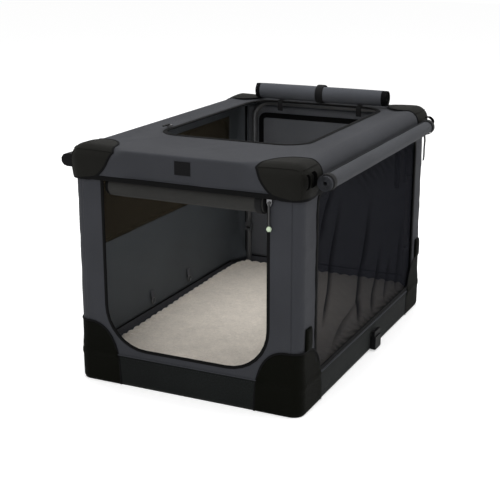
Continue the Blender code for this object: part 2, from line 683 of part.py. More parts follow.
def corner_patch(name, sx, sy):
    """The patch on a lower corner, highest at the corner and round at its far ends."""
    quarter = WALL_CORNER_R * math.pi / 4
    start = FLAT_Y + quarter
    reach_end = quarter + PATCH_REACH_FRONT - WALL_CORNER_R
    reach_side = quarter + PATCH_REACH_SIDE - WALL_CORNER_R
    side_steps = [-quarter - (reach_side - quarter) * share for share in PATCH_SHARES]
    bend_steps = list(np.linspace(-quarter, quarter, ARC_STEPS + 1))[1:-1]
    end_steps = [quarter + (reach_end - quarter) * share for share in PATCH_SHARES]
    bm = bmesh.new()
    columns = []
    for step in sorted(side_steps + bend_steps + end_steps):
        reach = reach_side if step < 0 else reach_end
        beyond = min(1.0, max(0.0, (abs(step) - quarter) / (reach - quarter)))
        height = PATCH_HEIGHT * (1 - beyond ** PATCH_POWER_SHARE) ** (1 / PATCH_POWER_SHARE)
        columns.append([bm.verts.new(patch_place(sx, sy, start + step, height * share))
                        for share in (0, 0.5, 1)])
    for left, right in zip(columns, columns[1:]):
        for row in (0, 1):
            bm.faces.new((left[row], right[row], right[row + 1], left[row + 1]))
    bmesh.ops.remove_doubles(bm, verts=bm.verts, dist=TOUCH / 10)
    sheet(name, bm, EDGING, "patch_cloth")


def patch_place(sx, sy, u, v):
    """Bends a developed patch round a corner, one edging's thickness and a touch outside the walls."""
    grown = WALL_CORNER_R + CAP_PROUD
    bend = u - FLAT_Y
    quarter = WALL_CORNER_R * math.pi / 2
    turn = min(max(bend / WALL_CORNER_R, 0.0), math.pi / 2)
    y = min(u, FLAT_Y) + grown * math.sin(turn)
    x = FLAT_X + grown * math.cos(turn) - max(0.0, bend - quarter)
    return Vector((sx * x, sy * y, v))


# Floor, mat and rolled covers
def floor_and_mat():
    """The stiffened floor inside the bottom band, and the fleece mat that lies on it."""
    half_x, half_y = WALL_X - CLOTH - TOUCH, WALL_Y - CLOTH - TOUCH
    radius = WALL_CORNER_R - CLOTH - TOUCH
    outline = [(c[0] + r * math.cos(a), c[1] + r * math.sin(a))
               for c, a, r in rounded_rectangle((-half_x, -half_y), (half_x, half_y), radius)]
    bm = bmesh.new()
    extrude_profile(bm, [(x, y, 0) for x, y in outline], (0, 0, FLOOR_BOARD))
    finish("floor_panel", bm, "floor_cloth")

    mat_x = FRAME_X - TUBE_R - MAT_SIDE_GAP
    mat_y = PIN_Y - TUBE_R - MAT_END_GAP
    bottom = FLOOR_BOARD + TOUCH
    u = np.linspace(-1, 1, MAT_COLUMNS + 1)
    v = np.linspace(-1, 1, MAT_ROWS + 1)
    bm = bmesh.new()
    grids = []
    for upper in (True, False):
        rows = []
        for b in v:
            row = []
            for a in u:
                x, y = mat_outline(a, b, mat_x, mat_y)
                edge = (1 - abs(a) ** 6) * (1 - abs(b) ** 8)
                swell = max(0.0, edge) ** 0.35
                crown = MAT_CROWN * (1 - a * a) * (1 - b * b)
                half = (MAT_HEIGHT - MAT_CROWN) / 2
                z = bottom + half + half * swell + crown * swell if upper else bottom + half * (1 - swell)
                row.append(bm.verts.new((x, y, z)))
            rows.append(row)
        grids.append(rows)
    for rows in grids:
        for r0, r1 in zip(rows, rows[1:]):
            for i in range(MAT_COLUMNS):
                bm.faces.new((r0[i], r0[i + 1], r1[i + 1], r1[i]))
    bmesh.ops.remove_doubles(bm, verts=bm.verts, dist=TOUCH)
    finish("mat", bm, "fleece", smooth=True)


def mat_outline(a, b, half_x, half_y):
    """The mat's plan: sides drawn in between the corners, and the corners rounded."""
    x = a * (half_x - MAT_DRAW_IN * (1 - b * b) * abs(a))
    y = b * (half_y - MAT_DRAW_IN * (1 - a * a) * abs(b))
    pull = MAT_EDGE_R * (abs(a) * abs(b)) ** 8
    return x - math.copysign(pull, a), y - math.copysign(pull, b)


def roll(name, centre, radius, length, axis, kind, ties=()):
    """A rolled flap: a soft bar with a step where its free edge ends, drawn in under its ties."""
    stations = list(np.linspace(-length / 2, length / 2, ROLL_STATIONS + 1))
    for at, width in ties:
        stations += [at - width / 2, at + width / 2]
    stations = sorted(stations)
    bm = bmesh.new()
    rings = []
    for s in stations:
        drawn = any(abs(s - at) <= width / 2 + TOUCH for at, width in ties)
        swell = 1 - 0.05 * abs(2 * s / length) ** 4
        ring = []
        for i in range(ROLL_SIDES):
            turn = i / ROLL_SIDES
            r = radius * (swell - ROLL_TURNS_SHARE * turn) - (TIE_THICK + TOUCH if drawn else 0)
            a = 2 * math.pi * turn + math.pi / 2
            out, up = r * math.cos(a), r * math.sin(a)
            offset = (s, -out, up) if axis == "x" else (out, s, up)
            ring.append(bm.verts.new([c + o for c, o in zip(centre, offset)]))
        rings.append(ring)
    for r0, r1 in zip(rings, rings[1:]):
        for i in range(ROLL_SIDES):
            j = (i + 1) % ROLL_SIDES
            bm.faces.new((r0[i], r0[j], r1[j], r1[i]))
    bm.faces.new(rings[0])
    bm.faces.new(rings[-1])
    return finish(name, bm, kind, smooth=True)


def tie_ring(bm, centre, inner, at, width, axis):
    """A webbing band right round a roll."""
    sides = ROLL_SIDES
    outer = inner + TIE_THICK
    rings = []
    for s in (at - width / 2, at + width / 2):
        for r in (inner, outer):
            ring = []
            for i in range(sides):
                a = 2 * math.pi * i / sides + math.pi / 2
                out, up = r * math.cos(a), r * math.sin(a)
                offset = (s, -out, up) if axis == "x" else (out, s, up)
                ring.append(bm.verts.new([c + o for c, o in zip(centre, offset)]))
            rings.append(ring)
    order = (rings[0], rings[1], rings[3], rings[2], rings[0])
    for r0, r1 in zip(order, order[1:]):
        for i in range(sides):
            j = (i + 1) % sides
            bm.faces.new((r0[i], r0[j], r1[j], r1[i]))


def tie(name, centre, radius, at, axis):
    bm = bmesh.new()
    tie_ring(bm, centre, radius - TIE_THICK, at, TIE_WIDTH - 2 * TOUCH, axis)
    return finish(name, bm, "webbing")


def rolled_covers():
    """The door, top and right window covers, rolled up and tied."""
    door_centre = (0, -WALL_Y + DOOR_ROLL_R + TOUCH, DOOR_HEAD - DOOR_ROLL_R - TOUCH)
    door_length = 2 * (DOOR_HALF_WIDTH - DOOR_ROLL_END_GAP)
    at = door_length / 2 - TIE_END_INSET
    roll("door_roll", door_centre, DOOR_ROLL_R, door_length, "x", "net", [(at, TIE_WIDTH)])
    ring = tie("door_roll_tie", door_centre, DOOR_ROLL_R, at, "x")
    bm = bmesh.new()
    back = -WALL_Y + CLOTH + TOUCH
    half = TIE_WIDTH / 2 - 2 * TOUCH
    add_box(bm, (at - half, back, door_centre[2] + TIE_TAB_SEAT), (at + half, back + TIE_THICK, DOOR_HEAD + TIE_TAB_LAP))
    joined(ring, finish("door_tie_tab", bm, "webbing"))

    top_centre = (0, TOP_ROLL_Y, HEIGHT + TOUCH + TOP_ROLL_R)
    roll("top_roll", top_centre, TOP_ROLL_R, TOP_ROLL_LENGTH, "x", "shell_cloth", [(0, TIE_WIDTH)])
    tie("top_roll_tie", top_centre, TOP_ROLL_R, 0, "x")

    side_length = LENGTH - 2 * SIDE_ROLL_END_GAP
    side_centre = (WIDTH / 2 + CAP_PROUD + TOUCH + SIDE_ROLL_R, 0, HEIGHT - SIDE_ROLL_DROP)
    side_at = side_length / 2 - TIE_END_INSET
    roll("side_roll_right", side_centre, SIDE_ROLL_R, side_length, "y", "shell_cloth",
         [(-side_at, TIE_WIDTH), (side_at, TIE_WIDTH)])
    tie("side_roll_tie_front", side_centre, SIDE_ROLL_R, -side_at, "y")
    tie("side_roll_tie_rear", side_centre, SIDE_ROLL_R, side_at, "y")


def cover_loops():
    """Webbing loops at the upper corners of the left side, that tie its cover when it is rolled up."""
    inner = WIDTH / 2 + CAP_PROUD + TOUCH
    high = HEIGHT - LOOP_DROP
    for end, word in ((-1, "front"), (1, "rear")):
        near = end * (LENGTH / 2 - LOOP_END_INSET)
        outline = arc((inner + LOOP_REACH - LOOP_HEIGHT / 2, high - LOOP_HEIGHT / 2), LOOP_HEIGHT / 2, 90, -90)
        outline += [(inner, high - LOOP_HEIGHT), (inner, high)]
        bm = bmesh.new()
        extrude_profile(bm, [(-x, near, z) for x, z in outline], (0, -end * LOOP_WIDTH, 0))
        finish("cover_loop_" + word + "_left", bm, "webbing")


def label():
    """A small bare woven label on the front of the top's skirt."""
    y = -LENGTH / 2 - TOUCH
    z = HEIGHT - LABEL_DROP
    box("woven_label", (LABEL_X - LABEL_WIDTH / 2, y - LABEL_THICK, z - LABEL_HEIGHT / 2),
        (LABEL_X + LABEL_WIDTH / 2, y, z + LABEL_HEIGHT / 2), "edging")


# Zip sliders and pullers
def zip_slider(name, centre, along, out):
    """A zip slider: a wedge-ended body, wider where the two rows of teeth part."""
    across = along.cross(out)
    half_l, half_w = SLIDER_LENGTH / 2, SLIDER_WIDTH / 2
    outline = [(-half_l, -half_w / 2), (-half_l, half_w / 2), (0, half_w), (half_l, half_w),
               (half_l, -half_w), (0, -half_w)]
    bm = bmesh.new()
    extrude_profile(bm, [centre + along * a + across * b for a, b in outline], out * SLIDER_THICK)
    finish(name, bm, "plated_steel")


def door_zip():
    """The door's zip slider on the right post, with a puller that ends in a bead."""
    seat = -WALL_Y - CAP_PROUD - TOUCH
    centre = Vector((SLIDER_X, seat, SLIDER_Z))
    zip_slider("door_zip_slider", centre, Vector((0, 0, 1)), Vector((0, -1, 0)))
    y = seat - SLIDER_THICK - TOUCH
    low = SLIDER_Z - PULLER_LENGTH
    outline = arc((SLIDER_X, SLIDER_Z), PULLER_EYE_R, -60, 240, 8)
    outline += [(SLIDER_X - PULLER_WIDTH / 2, low), (SLIDER_X + PULLER_WIDTH / 2, low)]
    bm = bmesh.new()
    extrude_profile(bm, [(u, y - PULLER_THICK, v) for u, v in outline], (0, PULLER_THICK, 0))
    puller = finish("door_zip_puller", bm, "bead_plastic")
    steps = [math.pi * i / BEAD_RINGS for i in range(1, BEAD_RINGS)]
    profile = [(0, -BEAD_R)] + [(BEAD_R * math.sin(a), -BEAD_R * math.cos(a)) for a in steps] + [(0, BEAD_R)]
    bm = bmesh.new()
    turned(bm, profile, Matrix.Translation((SLIDER_X, seat - BEAD_R, low - BEAD_R / 2)), BEAD_SIDES)
    joined(puller, finish("door_zip_bead", bm, "bead_plastic"))


def top_zip():
    """The top cover's zip slider at the left front of the opening, with a flat puller."""
    x = -TOP_OPENING_HALF_WIDTH - SLIDER_EDGE_INSET
    centre = Vector((x, TOP_SLIDER_Y, HEIGHT + TOUCH))
    zip_slider("top_zip_slider", centre, Vector((0, 1, 0)), Vector((0, 0, 1)))
    z = HEIGHT + 2 * TOUCH + SLIDER_THICK
    half = TOP_PULLER_WIDTH / 2
    tip = TOP_SLIDER_Y - TOP_PULLER_LENGTH
    outline = arc((x, tip + half), half, 180, 360) + [(x + half, TOP_SLIDER_Y), (x - half, TOP_SLIDER_Y)]
    bm = bmesh.new()
    extrude_profile(bm, [(u, v, z) for u, v in outline], (0, 0, PULLER_THICK))
    finish("top_zip_puller", bm, "black_plastic")


# Strap and side-release buckle on the right side
def pack_buckle():
    """The strap's end on the bottom band, the buckle's socket, and its two-armed prong."""
    inner = WALL_X + TOUCH
    face = inner + WEB_THICK + TOUCH
    low = BUCKLE_FLOOR_GAP
    top = low + BUCKLE_SOCKET_HEIGHT
    half = BUCKLE_WIDTH / 2
    box("pack_strap", (inner, BUCKLE_Y - WEB_WIDTH / 2, low), (inner + WEB_THICK, BUCKLE_Y + WEB_WIDTH / 2, top),
        "webbing")
    bm = bmesh.new()
    add_box(bm, (face, BUCKLE_Y - half, low), (face + BUCKLE_THICK, BUCKLE_Y + half, top))
    socket = finish("buckle_socket", bm, "black_plastic")
    hollow = bmesh.new()
    mouth = half - BUCKLE_WALL
    add_box(hollow, (face + BUCKLE_WALL, BUCKLE_Y - mouth, top - PRONG_DEPTH - BUCKLE_CLEAR),
            (face + BUCKLE_THICK - BUCKLE_WALL, BUCKLE_Y + mouth, top + CUT_OVERRUN))
    cut(socket, finish("buckle_hollow", hollow, "black_plastic"))
    prong = bmesh.new()
    x0, x1 = face + BUCKLE_WALL + BUCKLE_CLEAR, face + BUCKLE_THICK - BUCKLE_WALL - BUCKLE_CLEAR
    arm = mouth - BUCKLE_CLEAR
    seat = top + TOUCH
    outline = [(-half, seat + PRONG_BODY_HEIGHT), (-half, seat), (-arm, seat), (-arm, top - PRONG_DEPTH),
               (-arm + PRONG_ARM, top - PRONG_DEPTH), (-arm + PRONG_ARM, seat), (arm - PRONG_ARM, seat),
               (arm - PRONG_ARM, top - PRONG_DEPTH), (arm, top - PRONG_DEPTH), (arm, seat), (half, seat),
               (half, seat + PRONG_BODY_HEIGHT)]
    extrude_profile(prong, [(x0, BUCKLE_Y + u, v) for u, v in outline], (x1 - x0, 0, 0))
    finish("buckle_prong", prong, "black_plastic")


def build():
    for obj in list(bpy.data.objects):
        bpy.data.objects.remove(obj, do_unlink=True)
    bottom_ring()
    for end, word in ((-1, "front"), (1, "rear")):
        hoop(end, word)
        for side, side_word in ((-1, "left"), (1, "right")):
            leg(end, side, word + "_" + side_word)
            link(end, side, word + "_" + side_word)
    top_rails()
    floor_and_mat()
    side_walls()
    end_walls()
    net("window_net_right", 1, WINDOW_SILL_RIGHT, NET_GAPS_HIGH_RIGHT)
    net("window_net_left", -1, WINDOW_SILL_LEFT, NET_GAPS_HIGH_LEFT)
    left_cover()
    top_cloth()
    for sx, side_word in ((-1, "left"), (1, "right")):
        for sy, end_word in ((-1, "front"), (1, "rear")):
            corner_cap("upper_patch_" + end_word + "_" + side_word, sx, sy)
            corner_patch("lower_patch_" + end_word + "_" + side_word, sx, sy)
    rolled_covers()
    cover_loops()
    label()
    door_zip()
    top_zip()
    pack_buckle()
    print("top comes down by", round(LID_DROP, 4), "leg hinges at", round(PIN_Y, 4), HINGE_Z, "hoops at",
          round(HOOP_TOP_Z, 4), "sliders at", round(SLIDER_X, 4), round(SLIDER_Z, 4))


build()
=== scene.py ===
"""A soft folding dog crate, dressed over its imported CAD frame."""
import math

import bmesh
import bpy
import numpy as np
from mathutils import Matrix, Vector


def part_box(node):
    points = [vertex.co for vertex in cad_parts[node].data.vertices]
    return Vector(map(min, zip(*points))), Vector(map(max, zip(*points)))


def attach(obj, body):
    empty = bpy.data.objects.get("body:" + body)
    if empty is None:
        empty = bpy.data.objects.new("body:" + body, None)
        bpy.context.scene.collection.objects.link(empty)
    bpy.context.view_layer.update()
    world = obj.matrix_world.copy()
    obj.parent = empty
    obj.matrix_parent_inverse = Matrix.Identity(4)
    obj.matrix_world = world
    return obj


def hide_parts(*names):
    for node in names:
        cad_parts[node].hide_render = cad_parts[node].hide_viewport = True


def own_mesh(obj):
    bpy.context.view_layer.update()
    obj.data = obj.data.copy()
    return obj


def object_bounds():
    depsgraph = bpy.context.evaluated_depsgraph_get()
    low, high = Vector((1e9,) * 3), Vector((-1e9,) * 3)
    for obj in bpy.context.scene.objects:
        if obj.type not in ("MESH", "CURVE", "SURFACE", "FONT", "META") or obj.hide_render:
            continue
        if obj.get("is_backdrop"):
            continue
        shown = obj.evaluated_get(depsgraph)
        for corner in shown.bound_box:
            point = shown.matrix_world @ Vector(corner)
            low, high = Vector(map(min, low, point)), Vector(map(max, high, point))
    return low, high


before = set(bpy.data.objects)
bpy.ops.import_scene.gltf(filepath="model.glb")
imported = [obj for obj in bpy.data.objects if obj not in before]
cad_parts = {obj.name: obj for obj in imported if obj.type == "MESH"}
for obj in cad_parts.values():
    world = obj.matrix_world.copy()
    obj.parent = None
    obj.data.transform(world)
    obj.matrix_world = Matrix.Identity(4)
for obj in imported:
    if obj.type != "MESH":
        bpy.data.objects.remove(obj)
cad_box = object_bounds()

# Camera: a long lens at the height of a person who looks down on the crate's doorway corner, a good
# two metres away.
camera = bpy.data.objects.new("camera", bpy.data.cameras.new("camera"))
bpy.context.collection.objects.link(camera)
camera.data.lens = 80.19
camera.data.sensor_width = 36.0
camera.location = (0.8299, -1.8197, 0.7645)
yaw, pitch = math.radians(25.320), math.radians(16.502)
looking = Vector((-math.sin(yaw) * math.cos(pitch), math.cos(yaw) * math.cos(pitch), -math.sin(pitch)))
camera.rotation_mode = "QUATERNION"
camera.rotation_quaternion = looking.to_track_quat("-Z", "Y")
bpy.context.scene.camera = camera

# Floor: a plain white studio floor that runs on behind the crate. The camera sees it as white, and the
# crate throws a faint shadow on it.
def feed(tree, taker, inputs):
    """Sets a shader node's inputs to numbers or colours, or links them from the outputs of others."""
    for socket, value in inputs.items():
        if isinstance(value, bpy.types.NodeSocket):
            tree.links.new(value, taker.inputs[socket])
        else:
            taker.inputs[socket].default_value = value


def add_node(tree, kind, inputs, operation=None):
    """Adds a shader node of a kind and feeds its inputs."""
    made = tree.nodes.new("ShaderNode" + kind)
    if operation:
        made.operation = operation
    feed(tree, made, inputs)
    return made


def new_finish(name):
    """A new material, its tree and its shader."""
    made = bpy.data.materials.new(name)
    made.use_nodes = True
    return made, made.node_tree, made.node_tree.nodes["Principled BSDF"]


def seen_directly(tree):
    """1 for a ray from the camera, in a reflection or through a clear piece, and 0 for diffuse light."""
    kind_of_ray = add_node(tree, "LightPath", {})
    most = kind_of_ray.outputs["Is Camera Ray"]
    for other in ("Is Glossy Ray", "Is Transmission Ray"):
        most = add_node(tree, "Math", {0: most, 1: kind_of_ray.outputs[other]}, "MAXIMUM").outputs[0]
    return most


FLOOR_HALF = 9
floor_mesh = bpy.data.meshes.new("floor")
floor_mesh.from_pydata([(sx * FLOOR_HALF, sy * FLOOR_HALF, 0) for sx, sy in ((-1, -1), (1, -1), (1, 1), (-1, 1))],
                       [], [(0, 1, 2, 3)])
floor = bpy.data.objects.new("floor", floor_mesh)
bpy.context.collection.objects.link(floor)
floor_paint, floor_tree, floor_shader = new_finish("studio_floor")
floor_lift = add_node(floor_tree, "MapRange", {"Value": seen_directly(floor_tree), "To Max": 0.42})
feed(floor_tree, floor_shader, {"Base Color": (0.9, 0.9, 0.9, 1), "Roughness": 0.9, "Specular IOR Level": 0.0,
                                "Emission Color": (1, 1, 1, 1), "Emission Strength": floor_lift.outputs["Result"]})
floor_mesh.materials.append(floor_paint)
floor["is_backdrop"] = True

# Light: large soft boxes overhead, in front and to the right behind the crate, and a pale room around
# them. The room is plain white to the camera and in reflections.
world = bpy.data.worlds.new("room")
bpy.context.scene.world = world
world.use_nodes = True
room = world.node_tree
level = add_node(room, "MapRange", {"Value": seen_directly(room), "To Min": 0.62, "To Max": 1.0})
feed(room, room.nodes["Background"], {"Color": (1, 1, 1, 1), "Strength": level.outputs["Result"]})
crate_middle = Vector((0, 0, 0.2))
for lamp_name, place, power, size in (("soft_box_top", (0.1, 0.1, 2.6), 40, 2.0),
                                      ("soft_box_front", (0.2, -2.6, 1.5), 14, 1.6),
                                      ("soft_box_right", (2.4, 0.9, 1.6), 8, 1.4)):
    lamp = bpy.data.objects.new(lamp_name, bpy.data.lights.new(lamp_name, "AREA"))
    lamp.data.energy = power
    lamp.data.size = size
    lamp.location = place
    lamp.rotation_mode = "QUATERNION"
    lamp.rotation_quaternion = (crate_middle - Vector(place)).to_track_quat("-Z", "Y")
    bpy.context.collection.objects.link(lamp)
bpy.context.scene.view_settings.view_transform = "Standard"

# Steel frame: the bottom ring, the stub legs with their hinge forks, the folding links and hoops, and
# the two top rails. Thin bent tube with a dark powder coat that is slightly uneven.
def emboss(tree, shader, height, strength, distance):
    """Raises a pattern in the shader's surface."""
    bump = add_node(tree, "Bump", {"Height": height, "Strength": strength, "Distance": distance})
    feed(tree, shader, {"Normal": bump.outputs["Normal"]})


def painted_metal(name, colour, roughness, metallic, grain, shine=0.5):
    """Paint or plating: soft noise moves the roughness from 0.08 under its value to 0.12 over it, and
    fine noise embosses an orange peel."""
    made, tree, shader = new_finish(name)
    where = add_node(tree, "TexCoord", {}).outputs["Object"]
    patches = add_node(tree, "TexNoise", {"Vector": where, "Scale": 40, "Detail": 4})
    dullness = add_node(tree, "MapRange", {"Value": patches.outputs["Fac"], "To Min": roughness - 0.08,
                                           "To Max": roughness + 0.12})
    feed(tree, shader, {"Base Color": (*colour, 1), "Metallic": metallic, "Specular IOR Level": shine,
                        "Roughness": dullness.outputs["Result"]})
    peel = add_node(tree, "TexNoise", {"Vector": where, "Scale": grain})
    emboss(tree, shader, peel.outputs["Fac"], 0.15, 0.0004)
    return made


def coat(node_names, finish):
    """Gives CAD nodes, which keep their shapes, a finish."""
    for name in node_names:
        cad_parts[name].data.materials.clear()
        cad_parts[name].data.materials.append(finish)


tube_paint = painted_metal("tube_powder_coat", (0.105, 0.108, 0.114), 0.38, 0.35, 900)
tube_starts = ("base_rail", "base_bar", "leg_", "link_", "top_rail", "front_hoop", "rear_hoop")
coat([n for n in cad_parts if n.startswith(tube_starts)], tube_paint)

# Bottom band: a strip of coarse ballistic cloth round the floor, stiffened inside. It is lower at the
# sides than at the two ends, and a round piping is sewn into its upper seam, with a tape behind it.
def crossed_waves(tree, cloth_uv, pitch):
    """sin(u) x sin(v), one wave for each pitch in metres: the crowns of a weave, or the holes of a net."""
    turns = add_node(tree, "Mapping", {"Vector": cloth_uv, "Scale": (math.tau / pitch,) * 3})
    apart = add_node(tree, "SeparateXYZ", {0: turns.outputs["Vector"]})
    waves = [add_node(tree, "Math", {0: apart.outputs[axis]}, "SINE").outputs[0] for axis in "XY"]
    return add_node(tree, "Math", {0: waves[0], 1: waves[1]}, "MULTIPLY").outputs[0]


def tint_by(tree, shader, colour, strength):
    """Makes the shader's colour a fixed colour times a varying strength."""
    tint = add_node(tree, "VectorMath", {0: colour, "Scale": strength}, "SCALE")
    feed(tree, shader, {"Base Color": tint.outputs[0]})


def woven(name, colour, thread, depth=0.3, roughness=0.85, mottle=0.12, sheen=0.03, speck=0.0, shine=0.15):
    """Plain weave: sin(u) x sin(v) gives the threads' crowns, on a UV map in metres. Soft noise varies
    the colour, and speck lets single coarse threads come out paler."""
    made, tree, shader = new_finish(name)
    where = add_node(tree, "TexCoord", {})
    crowns = crossed_waves(tree, where.outputs["UV"], thread)
    shade = add_node(tree, "MapRange", {"Value": crowns, "From Min": -1, "To Min": 1 - depth, "To Max": 1 + depth})
    soft = add_node(tree, "TexNoise", {"Vector": where.outputs["Object"], "Scale": 7, "Detail": 5})
    patch = add_node(tree, "MapRange", {"Value": soft.outputs["Fac"], "From Min": 0.3, "From Max": 0.7,
                                        "To Min": 1 - mottle, "To Max": 1 + mottle})
    factors = [patch.outputs["Result"]]
    if speck:
        single = add_node(tree, "TexNoise", {"Vector": where.outputs["UV"], "Scale": 1 / (thread * 1.3), "Detail": 2})
        pale = add_node(tree, "MapRange", {"Value": single.outputs["Fac"], "From Min": 0.35, "From Max": 0.75,
                                           "To Min": 1 - speck, "To Max": 1 + 1.6 * speck})
        factors.append(pale.outputs["Result"])
    strength = shade.outputs["Result"]
    for factor in factors:
        strength = add_node(tree, "Math", {0: strength, 1: factor}, "MULTIPLY").outputs[0]
    tint_by(tree, shader, colour, strength)
    feed(tree, shader, {"Roughness": roughness, "Sheen Weight": sheen, "Sheen Roughness": 0.5,
                        "Specular IOR Level": shine})
    emboss(tree, shader, crowns, 0.4, thread * 0.2)
    return made


band_cloth = woven("ballistic_band", (0.0068, 0.0080, 0.0078), 0.0018, mottle=0.25, speck=0.3, shine=0.08)
band_lining = woven("band_lining", (0.082, 0.084, 0.094), 0.0009, roughness=0.7, shine=0.2)
shell_cloth = woven("anthracite_oxford", (0.034, 0.0355, 0.041), 0.0009)
tape_cloth = woven("black_binding_tape", (0.0036, 0.0036, 0.0038), 0.0012, roughness=0.8, sheen=0.0, shine=0.06)
thread_black = woven("sewing_thread", (0.010, 0.010, 0.011), 0.0006, roughness=0.6)


def cloth_object(name, points, faces, loop_uv, cloth, thickness=0.0, lining=None):
    """A mesh of cloth with its UV map in metres. Its thickness lies inside, with the lining there."""
    mesh = bpy.data.meshes.new(name)
    mesh.from_pydata(points.tolist(), [], faces.tolist())
    layer = mesh.uv_layers.new(name="cloth")
    layer.data.foreach_set("uv", np.ascontiguousarray(loop_uv, np.float32).reshape(-1))
    mesh.shade_smooth()
    mesh.materials.append(cloth)
    made = bpy.data.objects.new(name, mesh)
    bpy.context.collection.objects.link(made)
    if thickness:
        wall = made.modifiers.new("cloth", "SOLIDIFY")
        wall.thickness = thickness
        wall.offset = -1
        if lining:
            mesh.materials.append(lining)
            wall.material_offset = 1
    return made


def surface(name, points, uv, cloth, closed=False, thickness=0.0, outwards=True, lining=None):
    """A grid of points (rows, columns, 3) as a sheet. A closed grid joins its last row to its first, and
    its uv then has one row more. Faces look away from the crate's middle, and thickness lies inside."""
    rows, columns = points.shape[:2]
    i, j = np.meshgrid(np.arange(rows if closed else rows - 1), np.arange(columns - 1), indexing="ij")
    a, b, b_uv = i * columns + j, (i + 1) % rows * columns + j, (i + 1) * columns + j
    quads = np.stack([a, b, b + 1, a + 1], -1).reshape(-1, 4)
    loops = np.stack([a, b_uv, b_uv + 1, a + 1], -1).reshape(-1, 4)
    flat = points.reshape(-1, 3)
    corner = flat[quads]
    normal = np.cross(corner[:, 2] - corner[:, 0], corner[:, 3] - corner[:, 1])
    if outwards and (normal * (corner.mean(1) - np.array(crate_middle))).sum() < 0:
        quads, loops = quads[:, ::-1], loops[:, ::-1]
    return cloth_object(name, flat, quads, uv.reshape(-1, 2)[loops.reshape(-1)], cloth, thickness, lining)


def weld(mesh, distance, open_sheet=False):
    """Joins a mesh's points that lie together, and turns all of its faces the same way, outwards. The
    faces of an open sheet are turned away from the crate's middle."""
    joined = bmesh.new()
    joined.from_mesh(mesh)
    bmesh.ops.remove_doubles(joined, verts=joined.verts, dist=distance)
    bmesh.ops.recalc_face_normals(joined, faces=joined.faces)
    joined.normal_update()
    if open_sheet and sum(f.normal.dot(f.calc_center_median() - crate_middle) for f in joined.faces) < 0:
        bmesh.ops.reverse_faces(joined, faces=joined.faces)
    joined.to_mesh(mesh)
    joined.free()


def along(points):
    """Distance run along a line of points, from its first: the running sum of its steps."""
    return np.concatenate([[0], np.cumsum(np.linalg.norm(np.diff(points, axis=0), axis=1))])


def rounded(half_x, half_y, radius, centre=(0, 0), straight=(40, 28), bend=9):
    """Round a rectangle with rounded corners, anticlockwise from its right side: points, outward
    directions. Each corner is a quarter circle of bend points, and the sides between them have as many
    points as straight says for X and Y. radius is one number, or one for each corner from the upper
    right one."""
    radii = radius if isinstance(radius, tuple) else (radius,) * 4
    signs = ((1, 1), (-1, 1), (-1, -1), (1, -1))
    arcs = []
    for quarter, ((sx, sy), r) in enumerate(zip(signs, radii)):
        angle = quarter * math.pi / 2 + np.linspace(0, math.pi / 2, bend)
        out = np.stack([np.cos(angle), np.sin(angle)], -1)
        arcs.append((np.array([sx * (half_x - r), sy * (half_y - r)]) + centre + r * out, out))
    spots, facing = [], []
    for quarter in range(4):
        spot, out = arcs[quarter]
        count = straight[quarter % 2]
        share = np.linspace(0, 1, count + 2)[1:-1, None]
        spots += [spot, spot[-1] * (1 - share) + arcs[(quarter + 1) % 4][0][0] * share]
        facing += [out, np.repeat(out[-1:], count, 0)]
    return np.concatenate(spots), np.concatenate(facing)


def ripple(u, v, seed, size=0.09):
    """Soft unevenness of hung cloth, from -1 to 1: a sum of five slanted sine waves of falling length."""
    draw = np.random.default_rng(seed)
    total = 0
    for k in range(5):
        angle, phase = draw.uniform(0, math.pi), draw.uniform(0, math.tau)
        wave = math.tau / (size / (1 + 0.55 * k))
        total = total + np.sin((u * math.cos(angle) + v * math.sin(angle)) * wave + phase) / (1 + 0.7 * k)
    return total / 2.6


def headings(path, closed=False):
    """Unit directions along a line of points: the step from each point's one neighbour to the other. A
    closed line goes round."""
    ahead = np.roll(path, -1, 0) - np.roll(path, 1, 0) if closed else np.gradient(path, axis=0)
    return ahead / np.linalg.norm(ahead, axis=1, keepdims=True)


def swept(name, path, side, up, profile, cloth, closed=False):
    """A closed outline in the plane of two directions, carried along a line of points. An open run has
    its two ends drawn together and closed."""
    side, up = np.broadcast_to(side, path.shape), np.broadcast_to(up, path.shape)
    rows = path[:, None, :] + side[:, None, :] * profile[None, :, :1] + up[:, None, :] * profile[None, :, 1:]
    if not closed:
        rows = np.concatenate([np.broadcast_to(rows[0].mean(0), rows[:1].shape), rows,
                               np.broadcast_to(rows[-1].mean(0), rows[:1].shape)])
    rows = np.concatenate([rows, rows[:, :1]], 1)
    round_it = along(np.vstack([profile, profile[:1]]))
    middle = rows.mean(1)
    length = along(np.vstack([middle, middle[:1]]) if closed else middle)
    uv = np.stack(np.broadcast_arrays(length[:, None], round_it[None, :]), -1)
    made = surface(name, rows, uv, cloth, closed=closed, outwards=False)
    weld(made.data, 1e-6)
    return made


def cord_section(radius, sides=8):
    """The outline of a round cord: points evenly round a circle."""
    angle = np.arange(sides) * math.tau / sides
    return np.stack([np.cos(angle), np.sin(angle)], -1) * radius


def tape_section(width, thick):
    """A flat tape with rounded edges: a circle stretched to the width and the thickness, whose cosine
    is drawn out to its square root."""
    angle = np.arange(10) * math.tau / 10
    return np.stack([np.sign(np.cos(angle)) * np.abs(np.cos(angle)) ** 0.5 * width / 2,
                     np.sin(angle) * thick / 2], -1)


def tape(name, path, side, up, width, thick, closed=False):
    """Black tape sewn along a line: a flat section swept along it."""
    made = swept(name, path, side, up, tape_section(width, thick), tape_cloth, closed=closed)
    return made


